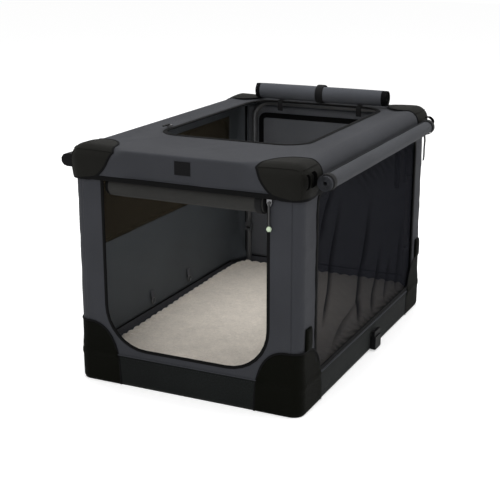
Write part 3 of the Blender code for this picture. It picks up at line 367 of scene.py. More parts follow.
def stitches(name, path, out, thread=0.0030, gap=0.0014, fat=0.00032):
    """A row of lock stitches round a closed line, on a surface that faces out: small six-pointed spindles
    laid end to end. Each is thread long, with gap between them."""
    out = np.broadcast_to(out, path.shape)
    path, out = np.vstack([path, path[:1]]), np.vstack([out, out[:1]])
    run = along(path)
    count = int(run[-1] / (thread + gap))
    start = np.arange(count) * (thread + gap) + gap / 2
    at = [np.stack([np.interp(start + d, run, path[:, k]) for k in range(3)], -1) for d in (0, thread / 2, thread)]
    normal = np.stack([np.interp(start + thread / 2, run, out[:, k]) for k in range(3)], -1)
    normal /= np.linalg.norm(normal, axis=1, keepdims=True)
    ahead = at[2] - at[0]
    ahead /= np.linalg.norm(ahead, axis=1, keepdims=True)
    across = np.cross(normal, ahead)
    middle = at[1] + normal * fat * 0.4
    six = np.stack([at[0], at[2], middle + across * fat, middle - across * fat, middle + normal * fat,
                    middle - normal * fat], 1)
    order = np.array([[0, 2, 4], [0, 4, 3], [0, 3, 5], [0, 5, 2], [1, 4, 2], [1, 3, 4], [1, 5, 3], [1, 2, 5]])
    faces = (np.arange(count)[:, None, None] * 6 + order[None]).reshape(-1, 3)
    made = cloth_object(name, six.reshape(-1, 3), faces, np.zeros((faces.size, 2)), thread_black)
    made.data.shade_flat()
    return made


WALL_X, WALL_Y, WALL_R = 0.2063, 0.3163, 0.0183
BAND_END, BAND_SIDE, BAND_CUT_WIDTH = 0.0540, 0.0493, 0.062
BAND_FOOT, BAND_SWELL, BAND_TUCK, TUCK_HEIGHT, BAND_THICK = 0.0006, 0.0009, 0.0022, 0.004, 0.0015
BAND_PIPING_R, BAND_ROW_BELOW = 0.0011, 0.0042
up_z = np.array([0.0, 0.0, 1.0])
ring, facing = rounded(WALL_X, WALL_Y, WALL_R)
facing3 = np.insert(facing, 2, 0, 1)
run = along(np.vstack([ring, ring[:1]]))
side_share = np.clip((np.abs(facing[:, 0]) - 0.2) / 0.6, 0, 1)
band_top = BAND_END + (BAND_SIDE - BAND_END) * side_share
rise = np.linspace(0, 1, 12)
height = BAND_FOOT + band_top[:, None] * rise
swell = BAND_SWELL * np.sin(rise * math.pi)[None, :] * (0.7 + 0.3 * ripple(run[:-1, None], height, 3))
out = swell - BAND_TUCK * np.clip(1 - height / TUCK_HEIGHT, 0, 1) ** 2
points = np.concatenate([ring[:, None, :] + facing[:, None, :] * out[..., None], height[..., None]], -1)
uv = np.stack(np.broadcast_arrays(run[:, None], np.vstack([height, height[:1]])), -1)
bottom_band = surface("bottom_band", points, uv, band_cloth, closed=True, thickness=BAND_THICK, lining=band_lining)
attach(bottom_band, "base")
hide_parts("base_band_front", "base_band_rear", "base_band_left", "base_band_right")


def round_the_wall(outside, above):
    """A line round the crate at the band's upper seam, some way outside the wall and above the seam. The
    line is drawn in plan, and its height is put in as the third coordinate."""
    return np.insert(ring + facing * outside, 2, band_top + above, 1)


band_piping = swept("band_piping", round_the_wall(0.0007, 0.0004), facing3, up_z, cord_section(BAND_PIPING_R),
                    shell_cloth, closed=True)
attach(band_piping, "base")
inner_tape = tape("band_inner_tape", round_the_wall(-0.0019, 0.0006), facing3, up_z, 0.0006, 0.0028, closed=True)
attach(inner_tape, "base")
band_stitches = stitches("band_stitches", round_the_wall(0.0009, -BAND_ROW_BELOW), facing3)
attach(band_stitches, "base")

# Floor panel: a stiff board in coated cloth that the bottom ring stands on, under the mat. It keeps its
# CAD shape, since only its edge is ever seen.
coat(["floor_panel"], painted_metal("coated_floor_cloth", (0.016, 0.016, 0.017), 0.6, 0.0, 1200))

# Mat: a cream fleece cushion that fills the floor. Two faces are sewn together round a piped seam, its
# sides pull in between the corners, its curly pile lies in small tufts, and it turns up at the rear.
def fleece(name, colour):
    """Curly pile: fine noise for the curls, plus 0.6 of a coarse noise for the tufts, sets the shade, dark
    between the curls. The curls are embossed as well."""
    made, tree, shader = new_finish(name)
    where = add_node(tree, "TexCoord", {}).outputs["Object"]
    curls = add_node(tree, "TexNoise", {"Vector": where, "Scale": 210, "Detail": 3, "Distortion": 1.2}).outputs["Fac"]
    tufts = add_node(tree, "TexNoise", {"Vector": where, "Scale": 34, "Detail": 4}).outputs["Fac"]
    added = add_node(tree, "Math", {0: tufts, 1: 0.6, 2: curls}, "MULTIPLY_ADD")
    shade = add_node(tree, "MapRange", {"Value": added.outputs[0], "From Min": 0.5, "From Max": 1.1,
                                        "To Min": 0.80, "To Max": 1.08})
    tint_by(tree, shader, colour, shade.outputs["Result"])
    feed(tree, shader, {"Roughness": 0.95, "Sheen Weight": 0.3, "Specular IOR Level": 0.1})
    emboss(tree, shader, curls, 0.7, 0.0015)
    return made


cream_fleece = fleece("cream_fleece", (0.79, 0.722, 0.635))
MAT_HALF_X, MAT_HALF_Y, MAT_CROWN, MAT_SEAM_UP = 0.1990, 0.3040, 0.0065, 0.017
PULLED_IN_X, PULLED_IN_Y, CORNER_ROUNDING, MAT_PIPING_R = 0.0018, 0.004, 0.016, 0.0016
TURNED_UP_REAR, TURNED_UP_LEFT = 0.0085, 0.0050
mat_low, mat_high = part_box("mat")
seam_z = mat_low.z + MAT_SEAM_UP
a, b = np.meshgrid(np.linspace(-1, 1, 121), np.linspace(-1, 1, 181), indexing="ij")
inward_x, inward_y = PULLED_IN_X * (1 - b * b), PULLED_IN_Y * (1 - a * a)
rounding = CORNER_ROUNDING * (np.abs(a) * np.abs(b)) ** 8
mat_x = a * (MAT_HALF_X - inward_x * np.abs(a)) - np.sign(a) * rounding
mat_y = b * (MAT_HALF_Y - inward_y * np.abs(b)) - np.sign(b) * rounding
edge = (1 - np.abs(a) ** 12) * (1 - np.abs(b) ** 16)
dome = np.clip(edge, 0, 1) ** 0.12
pucker = 1 - 0.10 * np.sin(a * 60 + 2 * np.sin(b * 9)) * (np.abs(b) > 0.9) - 0.10 * np.sin(b * 90) * (np.abs(a) > 0.86)
crown = MAT_CROWN * (1 - a * a) * (1 - b * b)
tuft = 0.0007 * ripple(mat_x, mat_y, 11, 0.05) + 0.0005 * ripple(mat_x, mat_y, 12, 0.021)
up_at_rear = TURNED_UP_REAR * np.clip((b + 0.5) / 1.5, 0, 1) ** 1.3
up_at_left = TURNED_UP_LEFT * np.clip(-a, 0, 1) ** 4 * np.clip((b + 1) / 1.2, 0, 1)
upper = seam_z + (mat_high.z - MAT_CROWN - seam_z) * dome * pucker + (crown + tuft + up_at_rear + up_at_left) * dome
lower = seam_z - (seam_z - mat_low.z) * dome
inside_ring = (np.abs(a) < 1) & (np.abs(b) < 1)
between_rails = np.where(inside_ring, (mat_high.x - 0.0005) / MAT_HALF_X, 1)
between_bars = np.where(inside_ring, mat_high.y / MAT_HALF_Y, 1)
under = np.stack([mat_x * between_rails, mat_y * between_bars, lower], -1)
both_faces = np.concatenate([np.stack([mat_x, mat_y, upper], -1), under[::-1]])
fleece_mat = surface("fleece_mat", both_faces, both_faces[..., :2], cream_fleece)
weld(fleece_mat.data, 1e-5)
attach(fleece_mat, "base")
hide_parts("mat")
rim = np.stack([mat_x, mat_y], -1)
border = np.concatenate([rim[0], rim[1:, -1], rim[-1, -2::-1], rim[-2:0:-1, 0]])
border3 = np.insert(border * 0.9985, 2, seam_z, 1)
outward = border3 * (1, 1, 0)
outward = outward / np.linalg.norm(outward, axis=1, keepdims=True)
mat_piping = swept("mat_piping", border3, outward, up_z, cord_section(MAT_PIPING_R), cream_fleece, closed=True)
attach(mat_piping, "base")

# Side walls: one piece of shell cloth for each side, which goes round both corners and meets the end
# walls in a seam there. Each has a window.
WALL_TOP, WALL_DROP, WALL_THICK, WALL_LAP = 0.388, 0.268, 0.0013, 0.006
FLAT_X, FLAT_Y = WALL_X - WALL_R, WALL_Y - WALL_R
corner_end = FLAT_Y + WALL_R * math.pi / 2
lining_cloth = woven("coated_lining", (0.068, 0.078, 0.088), 0.0009, roughness=0.6, shine=0.3)


def side_wrap(side, u, v, out):
    """Bends the developed side wall: u runs along Y, then round the corner arcs, and v is the height.
    out is the distance outside the wall's plane."""
    bend = np.clip((np.abs(u) - FLAT_Y) / WALL_R, 0, None)
    turn = np.minimum(bend, math.pi / 2)
    past = np.maximum(bend - math.pi / 2, 0) * WALL_R
    x = FLAT_X + (WALL_R + out) * np.cos(turn) - past
    y = np.minimum(np.abs(u), FLAT_Y) + (WALL_R + out) * np.sin(turn)
    return np.stack([side * x, np.sign(u) * y, v + 0 * x], -1)


def matched(low, high, hole_low, hole_high, radius, straight, bend=9):
    """Points round a rounded hole, and the matching points round the rectangle about it, where rays
    from the corner arcs' centres and from the straight edges meet the rectangle."""
    half = (np.array(hole_high) - hole_low) / 2
    middle = (np.array(hole_high) + hole_low) / 2
    hole, facing = rounded(*half, radius, middle, straight, bend)
    reaches = []
    for k in range(2):
        reach = np.where(facing[:, k] > 1e-6, (high[k] - hole[:, k]) / np.maximum(facing[:, k], 1e-6), np.inf)
        reaches.append(np.where(facing[:, k] < -1e-6, (low[k] - hole[:, k]) / np.minimum(facing[:, k], -1e-6), reach))
    rim = hole + facing * np.minimum(*reaches)[:, None]
    for cx, cy in ((high[0], high[1]), (low[0], high[1]), (low[0], low[1]), (high[0], low[1])):
        rim[np.argmin(np.abs(rim - (cx, cy)).sum(1))] = (cx, cy)
    return hole, rim


def crumple(piece):
    """Cloth between the bottom band and the top: it rides on the base, with a mesh of its own."""
    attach(piece, "base")
    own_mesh(piece)


windows = {1: ((-0.2533, 0.056), (0.2563, 0.366), 0.032), -1: ((-0.2533, 0.223), (0.2563, 0.366), 0.030)}
WINDOW_POINTS = (26, 70)
for side, word in ((1, "right"), (-1, "left")):
    hole_low, hole_high, hole_r = windows[side]
    reach = corner_end + WALL_LAP
    hole, rim = matched((-reach, BAND_SIDE), (reach, WALL_TOP), hole_low, hole_high, hole_r, WINDOW_POINTS)
    share = np.linspace(0, 1, 31)[None, :, None]
    develop = hole[:, None, :] * (1 - share) + rim[:, None, :] * share
    u, v = develop[..., 0], develop[..., 1]
    calm = np.clip((corner_end - np.abs(u)) / 0.02, 0, 1)
    waves = 0.0008 * ripple(u * 0.7, v * 1.6, 20 + side) * calm - 0.0009
    under_end_wall = np.abs(u) > corner_end + 0.0006
    waves = waves * np.clip((v - BAND_SIDE) / 0.02, 0, 1) - 0.0016 * under_end_wall
    uv = np.concatenate([develop, develop[:1]])
    wall = surface("side_wall_cloth_" + word, side_wrap(side, u, v, waves), uv, shell_cloth, closed=True,
                   thickness=WALL_THICK, lining=lining_cloth)
    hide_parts("side_wall_" + word)
    crumple(wall)

# Window tapes: black tape folded over the cut edge of each window, with a row of stitches through it
# where it lies on the wall.
def flat_frame(path, normal):
    """For a line of points that goes round in a plane: the direction across the line in that plane, as
    the cross product of its heading and the plane's normal."""
    return np.cross(headings(path, closed=True), np.broadcast_to(normal, path.shape))


ROW_OUT = 0.0064  # how far the row of stitches lies outside the window's edge
for side, word in ((1, "right"), (-1, "left")):
    hole_low, hole_high, hole_r = windows[side]
    half = ((hole_high[0] - hole_low[0]) / 2, (hole_high[1] - hole_low[1]) / 2)
    middle = ((hole_high[0] + hole_low[0]) / 2, (hole_high[1] + hole_low[1]) / 2)
    line, _ = rounded(*half, hole_r, middle, WINDOW_POINTS)
    path = np.insert(line, 0, side * (WALL_X - 0.0008), 1)
    normal = np.array([float(side), 0, 0])
    crumple(tape("window_tape_" + word, path, flat_frame(path, normal), normal, 0.0085, 0.0030, closed=True))
    wide, _ = rounded(half[0] + ROW_OUT, half[1] + ROW_OUT, hole_r + ROW_OUT, middle, WINDOW_POINTS)
    crumple(stitches("window_stitches_" + word, np.insert(wide, 0, side * (WALL_X + 0.0002), 1), normal))

# Nets: black knitted mesh behind the windows. The right one hangs a little slack, in soft upright folds
# that bunch up at its lower edge, and the left one is stretched flat under its closed cover. Where the
# right one's folds lie double, along its sill and beside its edges, its colour is darkened as painted shade,
# and a band just under the roll is darkened as the roll's painted shadow.
def knitted(name, colour, pitch, cover, gathers_and_shade=False):
    """Mesh with a staggered field of holes: its opacity falls evenly from 1, where sin(u) x sin(v) is
    lowest, to 2 x cover - 1, where it is highest, so cover is the share of the light that the threads
    stop. Where a fold lies double, a point attribute of the mesh closes it, and the same attribute
    darkens the mesh's colour there as painted shade."""
    made, tree, shader = new_finish(name)
    holes = crossed_waves(tree, add_node(tree, "TexCoord", {}).outputs["UV"], pitch)
    stop = add_node(tree, "MapRange", {"Value": holes, "From Min": -1, "From Max": 1, "To Min": 1.0,
                                       "To Max": 2 * cover - 1})
    feed(tree, shader, {"Base Color": (*colour, 1), "Roughness": 0.9, "Specular IOR Level": 0.0,
                        "Alpha": stop.outputs["Result"]})
    if gathers_and_shade:
        fold_and_shade_weight = add_node(tree, "Attribute", {})
        fold_and_shade_weight.attribute_name = "fold_doubling_and_shade"
        closer = add_node(tree, "Mix", {"Factor": fold_and_shade_weight.outputs["Fac"], "A": stop.outputs["Result"], "B": 1.0})
        feed(tree, shader, {"Alpha": closer.outputs["Result"]})
        # painted shade: where the folds lie, the mesh's colour is darkened down to 0.45 of itself
        painted_fold_shade = add_node(tree, "MapRange", {"Value": fold_and_shade_weight.outputs["Fac"], "To Min": 1.0, "To Max": 0.45})
        tint_by(tree, shader, colour, painted_fold_shade.outputs["Result"])
    emboss(tree, shader, holes, 0.5, pitch * 0.2)
    return made


black_mesh = knitted("black_knitted_mesh", (0.0128, 0.0134, 0.0168), 0.0018, 0.885, gathers_and_shade=True)
brown_mesh = knitted("inner_window_mesh", (0.052, 0.044, 0.031), 0.0018, 0.84)
NET_FRONT, NET_REAR, NET_TOP = -0.2573, 0.2603, 0.3700
FOLDS = (  # heights, places along the wall at these heights, half width, how closely the fold lies double and how much painted shade it gets
    ((0.262, 0.2753, 0.3152, 0.3386, 0.370), (-0.232, -0.2273, -0.2078, -0.1871, -0.166), 0.0070, 0.8),
    ((0.118, 0.1387, 0.1791, 0.2221, 0.2793, 0.330),
     (-0.209, -0.2028, -0.187, -0.1804, -0.1565, -0.140), 0.0060, 0.9),
    ((0.060, 0.0836, 0.1183, 0.165, 0.1913, 0.2388, 0.300),
     (-0.031, -0.0345, -0.0425, -0.0359, -0.0173, -0.0003, 0.010), 0.0080, 0.9),
    ((0.055, 0.068, 0.1005, 0.1337, 0.190), (0.037, 0.0373, 0.0397, 0.059, 0.075), 0.0065, 0.8),
    ((0.055, 0.0975, 0.1187, 0.160), (0.104, 0.1149, 0.1244, 0.135), 0.0060, 0.6),
    # this broad, slanted fold low at the front also stands for a painted shadow across the net
    ((0.055, 0.0736, 0.0957, 0.1096, 0.125), (-0.172, -0.1532, -0.1162, -0.0624, -0.02), 0.0150, 0.5),
    ((0.058, 0.120, 0.200), (0.172, 0.186, 0.200), 0.0080, 0.6))
right_foot, left_foot = windows[1][0][1] - 0.004, windows[-1][0][1] - 0.0015
u, v = np.meshgrid(np.linspace(NET_FRONT, NET_REAR, 240), np.linspace(right_foot, NET_TOP, 110), indexing="ij")
rise = (v - right_foot) / (NET_TOP - right_foot)
held = np.clip(np.minimum((u - NET_FRONT) / 0.02, (NET_REAR - u) / 0.02), 0, 1) * np.clip(rise / 0.08, 0, 1)
# fold mask: where a fold lies double it closes the net, and it darkens the net's colour there as painted shade
folds, fold_doubling_and_shade = np.zeros_like(u), np.zeros_like(u)
for heights, places, width, closeness_and_shade in FOLDS:
    line = np.interp(v, heights, places)
    low, high = heights[0], heights[-1]
    fade = np.clip((v - low) / 0.03, 0, 1) * np.clip((high - v) / (0.35 * (high - low)), 0, 1)
    ridge = np.exp(-((u - line) / (1.35 * width)) ** 2) * fade
    folds += 0.0055 * ridge - 0.0022 * np.exp(-((u - line) / (2.4 * width)) ** 2) * fade
    fold_doubling_and_shade = np.maximum(fold_doubling_and_shade, closeness_and_shade * ridge)
above_sill = (v - right_foot) / 0.016
along_sill = np.clip((u + 0.20) / 0.05, 0, 1)
streaks = 0.62 + 0.38 * np.sin(u * 260 + 9 * above_sill + 3 * np.sin(u * 41))
fold_doubling_and_shade = np.maximum(fold_doubling_and_shade, 0.85 * np.exp(-above_sill ** 2) * along_sill * streaks)
beside_edge = np.exp(-((u - NET_FRONT - 0.006) / 0.012) ** 2) + 0.5 * np.exp(-((NET_REAR - 0.006 - u) / 0.010) ** 2)
fold_doubling_and_shade = np.maximum(fold_doubling_and_shade, 0.8 * np.clip(beside_edge, 0, 1) * (0.8 + 0.2 * np.sin(v * 90 + 3 * np.sin(v * 31))))
# a band just under the roll: a real wrinkle in the net, and a painted shadow of the roll and its tape in slanted
# streaks
roll_wrinkle_and_shadow = np.exp(-((v - 0.345) / 0.03) ** 2) * np.clip((u + 0.12) / 0.1, 0, 1)
slanted = np.sin(u * 210 + v * 300)
fold_doubling_and_shade = np.maximum(fold_doubling_and_shade, 0.35 * roll_wrinkle_and_shadow * (0.5 + 0.5 * slanted))
folds += 0.0012 * np.exp(-above_sill ** 2) * streaks + 0.0010 * roll_wrinkle_and_shadow * slanted
inside = 0.0034 + held * (folds + 0.0014 + 0.0008 * ripple(u, v, 31, 0.12))
net_points = np.stack([WALL_X - inside, u, v], -1)
right_net = surface("window_mesh_right", net_points, np.stack([u, v], -1), black_mesh)
doubling_and_shade_layer = right_net.data.attributes.new("fold_doubling_and_shade", "FLOAT", "POINT")
doubling_and_shade_layer.data.foreach_set("value", np.ascontiguousarray(np.clip(fold_doubling_and_shade, 0, 1), np.float32).reshape(-1))
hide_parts("window_net_right")
crumple(right_net)
u, v = np.meshgrid(np.linspace(NET_FRONT, NET_REAR, 120), np.linspace(left_foot, NET_TOP, 40), indexing="ij")
net_points = np.stack([-(WALL_X - 0.0042) + 0.0004 * ripple(u, v, 33), u, v], -1)
left_net = surface("window_mesh_left", net_points, np.stack([u, v], -1), brown_mesh)
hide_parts("window_net_left")
crumple(left_net)

# End walls: the front one is cut away for the doorway, which leaves a post at each side, a sill and a
# header. The rear one is a plain panel with a pale lining. Both are sewn to the side walls.
END_HALF, DOOR_HALF, DOOR_LOW, DOOR_HIGH = FLAT_X + 0.0012, 0.1498, 0.068, 0.365
DOOR_CORNERS, DOOR_POINTS = (0.004, 0.004, 0.074, 0.074), (50, 50)
rear_lining = woven("rear_lining", (0.108, 0.113, 0.125), 0.0009, roughness=0.7, shine=0.2)
door_edge, rim = matched((-END_HALF, BAND_END), (END_HALF, WALL_TOP), (-DOOR_HALF, DOOR_LOW),
                         (DOOR_HALF, DOOR_HIGH), DOOR_CORNERS, DOOR_POINTS)
share = np.linspace(0, 1, 13)[None, :, None]
develop = door_edge[:, None, :] * (1 - share) + rim[:, None, :] * share
x, z = develop[..., 0], develop[..., 1]
calm = np.clip((END_HALF - np.abs(x)) / 0.02, 0, 1)
waves = (0.0009 * ripple(x * 1.5, z * 0.5, 41) * calm - 0.0006) * np.clip((z - BAND_END) / 0.02, 0, 1)
points = np.stack([x, -WALL_Y - waves, z], -1)
front_wall = surface("front_wall_cloth", points, np.concatenate([develop, develop[:1]]), shell_cloth, closed=True,
                     thickness=WALL_THICK, lining=lining_cloth)
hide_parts("front_wall")
crumple(front_wall)
x, z = np.meshgrid(np.linspace(-END_HALF, END_HALF, 60), np.linspace(BAND_END, WALL_TOP, 50), indexing="ij")
calm = np.clip((END_HALF - np.abs(x)) / 0.03, 0, 1)
waves = ((0.0012 * ripple(x, z, 43, 0.16) - 0.0006) * calm - 0.0006) * np.clip((z - BAND_END) / 0.02, 0, 1)
rear_wall = surface("rear_wall_cloth", np.stack([x, WALL_Y + waves, z], -1), np.stack([x, z], -1), shell_cloth,
                    thickness=WALL_THICK, lining=rear_lining)
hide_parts("rear_wall")
crumple(rear_wall)

# Tapes of the end walls: black tape sewn on the rear wall's inner side as the upper part of a frame,
# over the inner seam in each corner, and folded over the doorway's cut edge.
CORNERS = [(sx, sy, end_word + "_" + side_word) for sx, side_word in ((-1, "left"), (1, "right"))
           for sy, end_word in ((-1, "front"), (1, "rear"))]
FRAME_HALF, FRAME_LOW, FRAME_TOP, FRAME_R = 0.152, 0.240, 0.369, 0.012
SEAM_X, SEAM_INSIDE_Y, SEAM_LOW, SEAM_HIGH = 0.1868, 0.0034, 0.0600, 0.3860
turn = np.linspace(0, math.pi / 2, 9)
bend = np.stack([FRAME_HALF - FRAME_R + FRAME_R * np.cos(turn), FRAME_TOP - FRAME_R + FRAME_R * np.sin(turn)], -1)
leg = np.stack([np.full(20, FRAME_HALF), np.linspace(FRAME_LOW, 0.355, 20)], -1)
half_line = np.vstack([leg, bend, np.stack([np.linspace(0.135, 0.0, 20), np.full(20, FRAME_TOP)], -1)])
line = np.vstack([half_line, half_line[::-1][1:] * (-1, 1)])
path = np.insert(line, 1, WALL_Y - 0.0042, 1)
to_the_front = np.array([0, -1.0, 0])
across = np.cross(headings(path), to_the_front)
crumple(tape("rear_inner_tape", path, across, to_the_front, 0.011, 0.0012))
for sx, sy, word in CORNERS:
    rise = np.linspace(SEAM_LOW, SEAM_HIGH, 24)
    seam = np.stack(np.broadcast_arrays(sx * SEAM_X, sy * (WALL_Y - SEAM_INSIDE_Y), rise), -1)
    crumple(tape("corner_seam_tape_" + word, seam, (1.0, 0, 0), (0, 1.0, 0), 0.0075, 0.0008))
path = np.insert(door_edge, 1, -WALL_Y + 0.0007, 1)
door_tape = tape("doorway_tape", path, flat_frame(path, to_the_front), to_the_front, 0.0056, 0.0030, closed=True)
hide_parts("doorway_binding")
crumple(door_tape)

# Top cover: the roof of shell cloth with its large opening, in one piece with the fascias and skirts
# that hang from its rounded edges. It sags a little between the opening's tape and the rails, and tape
# is sewn over its hem and over the edge of the opening, each with a row of stitches.
TOP_X, TOP_Y, TOP_Z, TOP_R, HEM = 0.210, 0.320, 0.410, 0.022, 0.0485
CORNER_R, TOP_POINTS, TOP_BEND, TURN_IN = 0.0006, (46, 34), 11, 0.04
TOP_SAG, EDGE_SAG, TOP_ROW_OUT, HEM_ROW_UP = 0.0022, 0.0016, 0.0075, 0.0065
opening_middle, opening_half, opening_r = (0.0, 0.052), (0.138, 0.210), 0.045
inner, _ = rounded(*opening_half, opening_r, opening_middle, TOP_POINTS, TOP_BEND)
outer, facing = rounded(TOP_X - TOP_R, TOP_Y - TOP_R, CORNER_R, (0, 0), TOP_POINTS, TOP_BEND)
share = np.linspace(0, 1, 16)
flat_part = inner[:, None, :] * (1 - share[None, :, None]) + outer[:, None, :] * share[None, :, None]
uneven = 1 + 0.35 * ripple(flat_part[..., 0], flat_part[..., 1], 51)
sag = TOP_SAG * np.sin(share * math.pi)[None, :] ** 1.2 * uneven
flat_z = TOP_Z - sag - EDGE_SAG * (1 - share[None, :]) ** 3
turn = np.linspace(0, math.pi / 2, 13)[1:]
crisp = np.abs(facing[:, 1]) ** 4 * np.clip((0.122 - np.abs(outer[:, 0])) / 0.02, 0, 1)
power = 1 / (1 + 3.6 * crisp)[:, None]
over = outer[:, None, :] + facing[:, None, :] * (TOP_R * np.sin(turn)[None, :] ** power)[..., None]
over_z = TOP_Z - TOP_R + TOP_R * np.clip(np.cos(turn), 0, 1)[None, :] ** power
drop = np.linspace(0, 1, 8)[1:]
run = along(np.vstack([outer, outer[:1]]))
pull = 0.0009 * np.sin(run[:-1, None] * 38) * drop[None, :] ** 2
pull = pull + 0.0006 * ripple(run[:-1, None], drop[None, :] * 0.03, 53)
hang = outer[:, None, :] + facing[:, None, :] * (TOP_R + np.clip(pull, -0.0004, 0.002))[..., None]
hang_z = np.broadcast_to(TOP_Z - TOP_R - (HEM - TOP_R) * drop, hang.shape[:2])
plan = np.concatenate([flat_part, over, hang], 1)
lift = np.concatenate([flat_z, over_z, hang_z], 1)
points = np.concatenate([plan, lift[..., None]], -1)
reach = np.stack([along(p) for p in points])
uv = np.stack(np.broadcast_arrays(run[:, None], np.vstack([reach, reach[:1]])), -1)
top_cover = surface("top_cover", points, uv, shell_cloth, closed=True, thickness=0.0010, lining=lining_cloth)
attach(top_cover, "lid")
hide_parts("top_panel", "fascia_front", "fascia_rear")


def on_lid(piece):
    """Lets a piece ride on the top."""
    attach(piece, "lid")


hem_line = np.insert(outer + facing * (TOP_R + 0.0004), 2, TOP_Z - HEM, 1)
facing3 = np.insert(facing, 2, 0, 1)
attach(tape("top_hem_tape", hem_line, facing3, up_z, 0.0026, 0.0080, closed=True), "lid")
path = np.insert(inner, 2, TOP_Z - 0.0020, 1)
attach(tape("opening_tape", path, flat_frame(path, up_z), up_z, 0.0090, 0.0030, closed=True), "lid")
wide, _ = rounded(opening_half[0] + TOP_ROW_OUT, opening_half[1] + TOP_ROW_OUT, opening_r + TOP_ROW_OUT,
                  opening_middle, TOP_POINTS, TOP_BEND)
on_lid(stitches("opening_stitches", np.insert(wide, 2, TOP_Z - 0.0012, 1), up_z))
on_lid(stitches("hem_stitches", hem_line + (0, 0, HEM_ROW_UP), facing3))

# Upper corner patches: black cloth caps over the four upper corners, in three lobes that meet at the
# corner. They are padded, a tape edge is sewn round them, and a seam runs between each two lobes.
CAP_REACH, LOBE_R = (0.0820, 0.0705, 0.0515), 0.034
cap_cloth = woven("dark_cap_cloth", (0.0080, 0.0078, 0.0066), 0.0008, roughness=0.75, sheen=0.0, shine=0.08)


def rounded_corner(sx, sy, p):
    """A point on the faces of a sharp corner, moved onto the rounded corner: it is carried back to a
    box that is smaller by the radius, and then out again by the radius along the same direction."""
    core = np.minimum(p, np.array([TOP_X, TOP_Y, TOP_Z]) - TOP_R)
    away = p - core
    away = away / np.maximum(np.linalg.norm(away, axis=-1, keepdims=True), 1e-9)
    return core * (sx, sy, 1), away * (sx, sy, 1)


def lobe(first_reach, second_reach, steps):
    """A lobe laid flat: rays from the corner that end on the far sides of a rectangle, or on the arc
    that rounds off its far corner. Its points lie in steps along each ray."""
    angles = np.linspace(0, math.pi / 2, 25)
    direction = np.stack([np.cos(angles), np.sin(angles)], -1)
    straight = np.minimum(first_reach / np.maximum(direction[:, 0], 1e-9),
                          second_reach / np.maximum(direction[:, 1], 1e-9))
    centre = np.array([first_reach - LOBE_R, second_reach - LOBE_R])
    along_it = direction @ centre
    off_it = (centre ** 2).sum() - LOBE_R ** 2
    arc_reach = along_it + np.sqrt(np.maximum(along_it ** 2 - off_it, 0))
    in_corner = (direction * straight[:, None] > centre).all(-1)
    far = np.where(in_corner, arc_reach, straight)
    return direction[:, None, :] * (far[:, None] * steps[None, :])[..., None]


steps = np.linspace(0, 1, 22) ** 0.8
for sx, sy, word in CORNERS:
    grids, rims, seams = [], [], []
    for first, second in ((0, 1), (0, 2), (1, 2)):
        plane = lobe(CAP_REACH[first], CAP_REACH[second], steps)
        if first == 0:
            plane[..., 0] *= 1 - 0.24 * plane[..., 1] / CAP_REACH[second]
        p = np.empty(plane.shape[:2] + (3,))
        p[...] = (TOP_X, TOP_Y, TOP_Z)
        p[..., first] -= plane[..., 0]
        p[..., second] -= plane[..., 1]
        core, away = rounded_corner(sx, sy, p)
        puff = 0.0010 + 0.0030 * (1 - steps[None, :] ** 3) + 0.0004 * ripple(plane[..., 0], plane[..., 1], 61 + first)
        grids.append(core + away * (TOP_R + puff)[..., None])
        rims.append((core + away * (TOP_R + 0.0008))[:, -1])
        seams.append((core + away * (TOP_R + puff + 0.0002)[..., None], away))
    points = np.concatenate([grid.reshape(-1, 3) for grid in grids])
    lobes, rows, columns = len(grids), *grids[0].shape[:2]
    n, i, j = np.meshgrid(np.arange(lobes), np.arange(rows - 1), np.arange(columns - 1), indexing="ij")
    start = ((n * rows + i) * columns + j).reshape(-1, 1)
    faces = start + (0, 1, columns + 1, columns)
    loop_uv = (points[:, :2] + points[:, 2:])[faces.reshape(-1)]
    cap = cloth_object("corner_cap_" + word, points, faces, loop_uv, cap_cloth, thickness=0.0009)
    weld(cap.data, 2e-5, open_sheet=True)
    on_lid(cap)
    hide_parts("upper_patch_" + word)
    rim = np.concatenate([rims[0], rims[2][1:], rims[1][::-1][1:-1]])
    _, away = rounded_corner(sx, sy, np.abs(rim))
    across = np.cross(headings(rim, closed=True), away)
    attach(tape("cap_edge_" + word, rim, across, away, 0.0042, 0.0016, closed=True), "lid")
    for (number, row), axis in (((0, 0), "x"), ((0, -1), "y"), ((1, -1), "z")):
        line, away = seams[number][0][row][1:-1], seams[number][1][row][1:-1]
        dart = swept("cap_seam_" + axis + "_" + word, line, np.cross(headings(line), away), away,
                     cord_section(0.0008, 6), cap_cloth)
        on_lid(dart)

# Lower corner patches: black cloth over the four lower corners, highest at the corner and cut round at
# both ends. They wrap the corner, lie over the band's piping and are sewn on along their edge.
PATCH_HEIGHT, REACH_END, REACH_SIDE, ROUNDNESS = 0.108, 0.0805, 0.0885, 2.6
SKIRT_COMES_TO, SEAM_HUMP = 0.078, 0.0017
patch_cloth = woven("black_patch_cloth", (0.0020, 0.0022, 0.0012), 0.0008, roughness=0.75, sheen=0.0, shine=0.04)


def at_corner(sx, sy, u, v, out):
    """The developed side wall, bent round one of the crate's corners."""
    return side_wrap(sx, u, v, out) * (1, sy, 1)


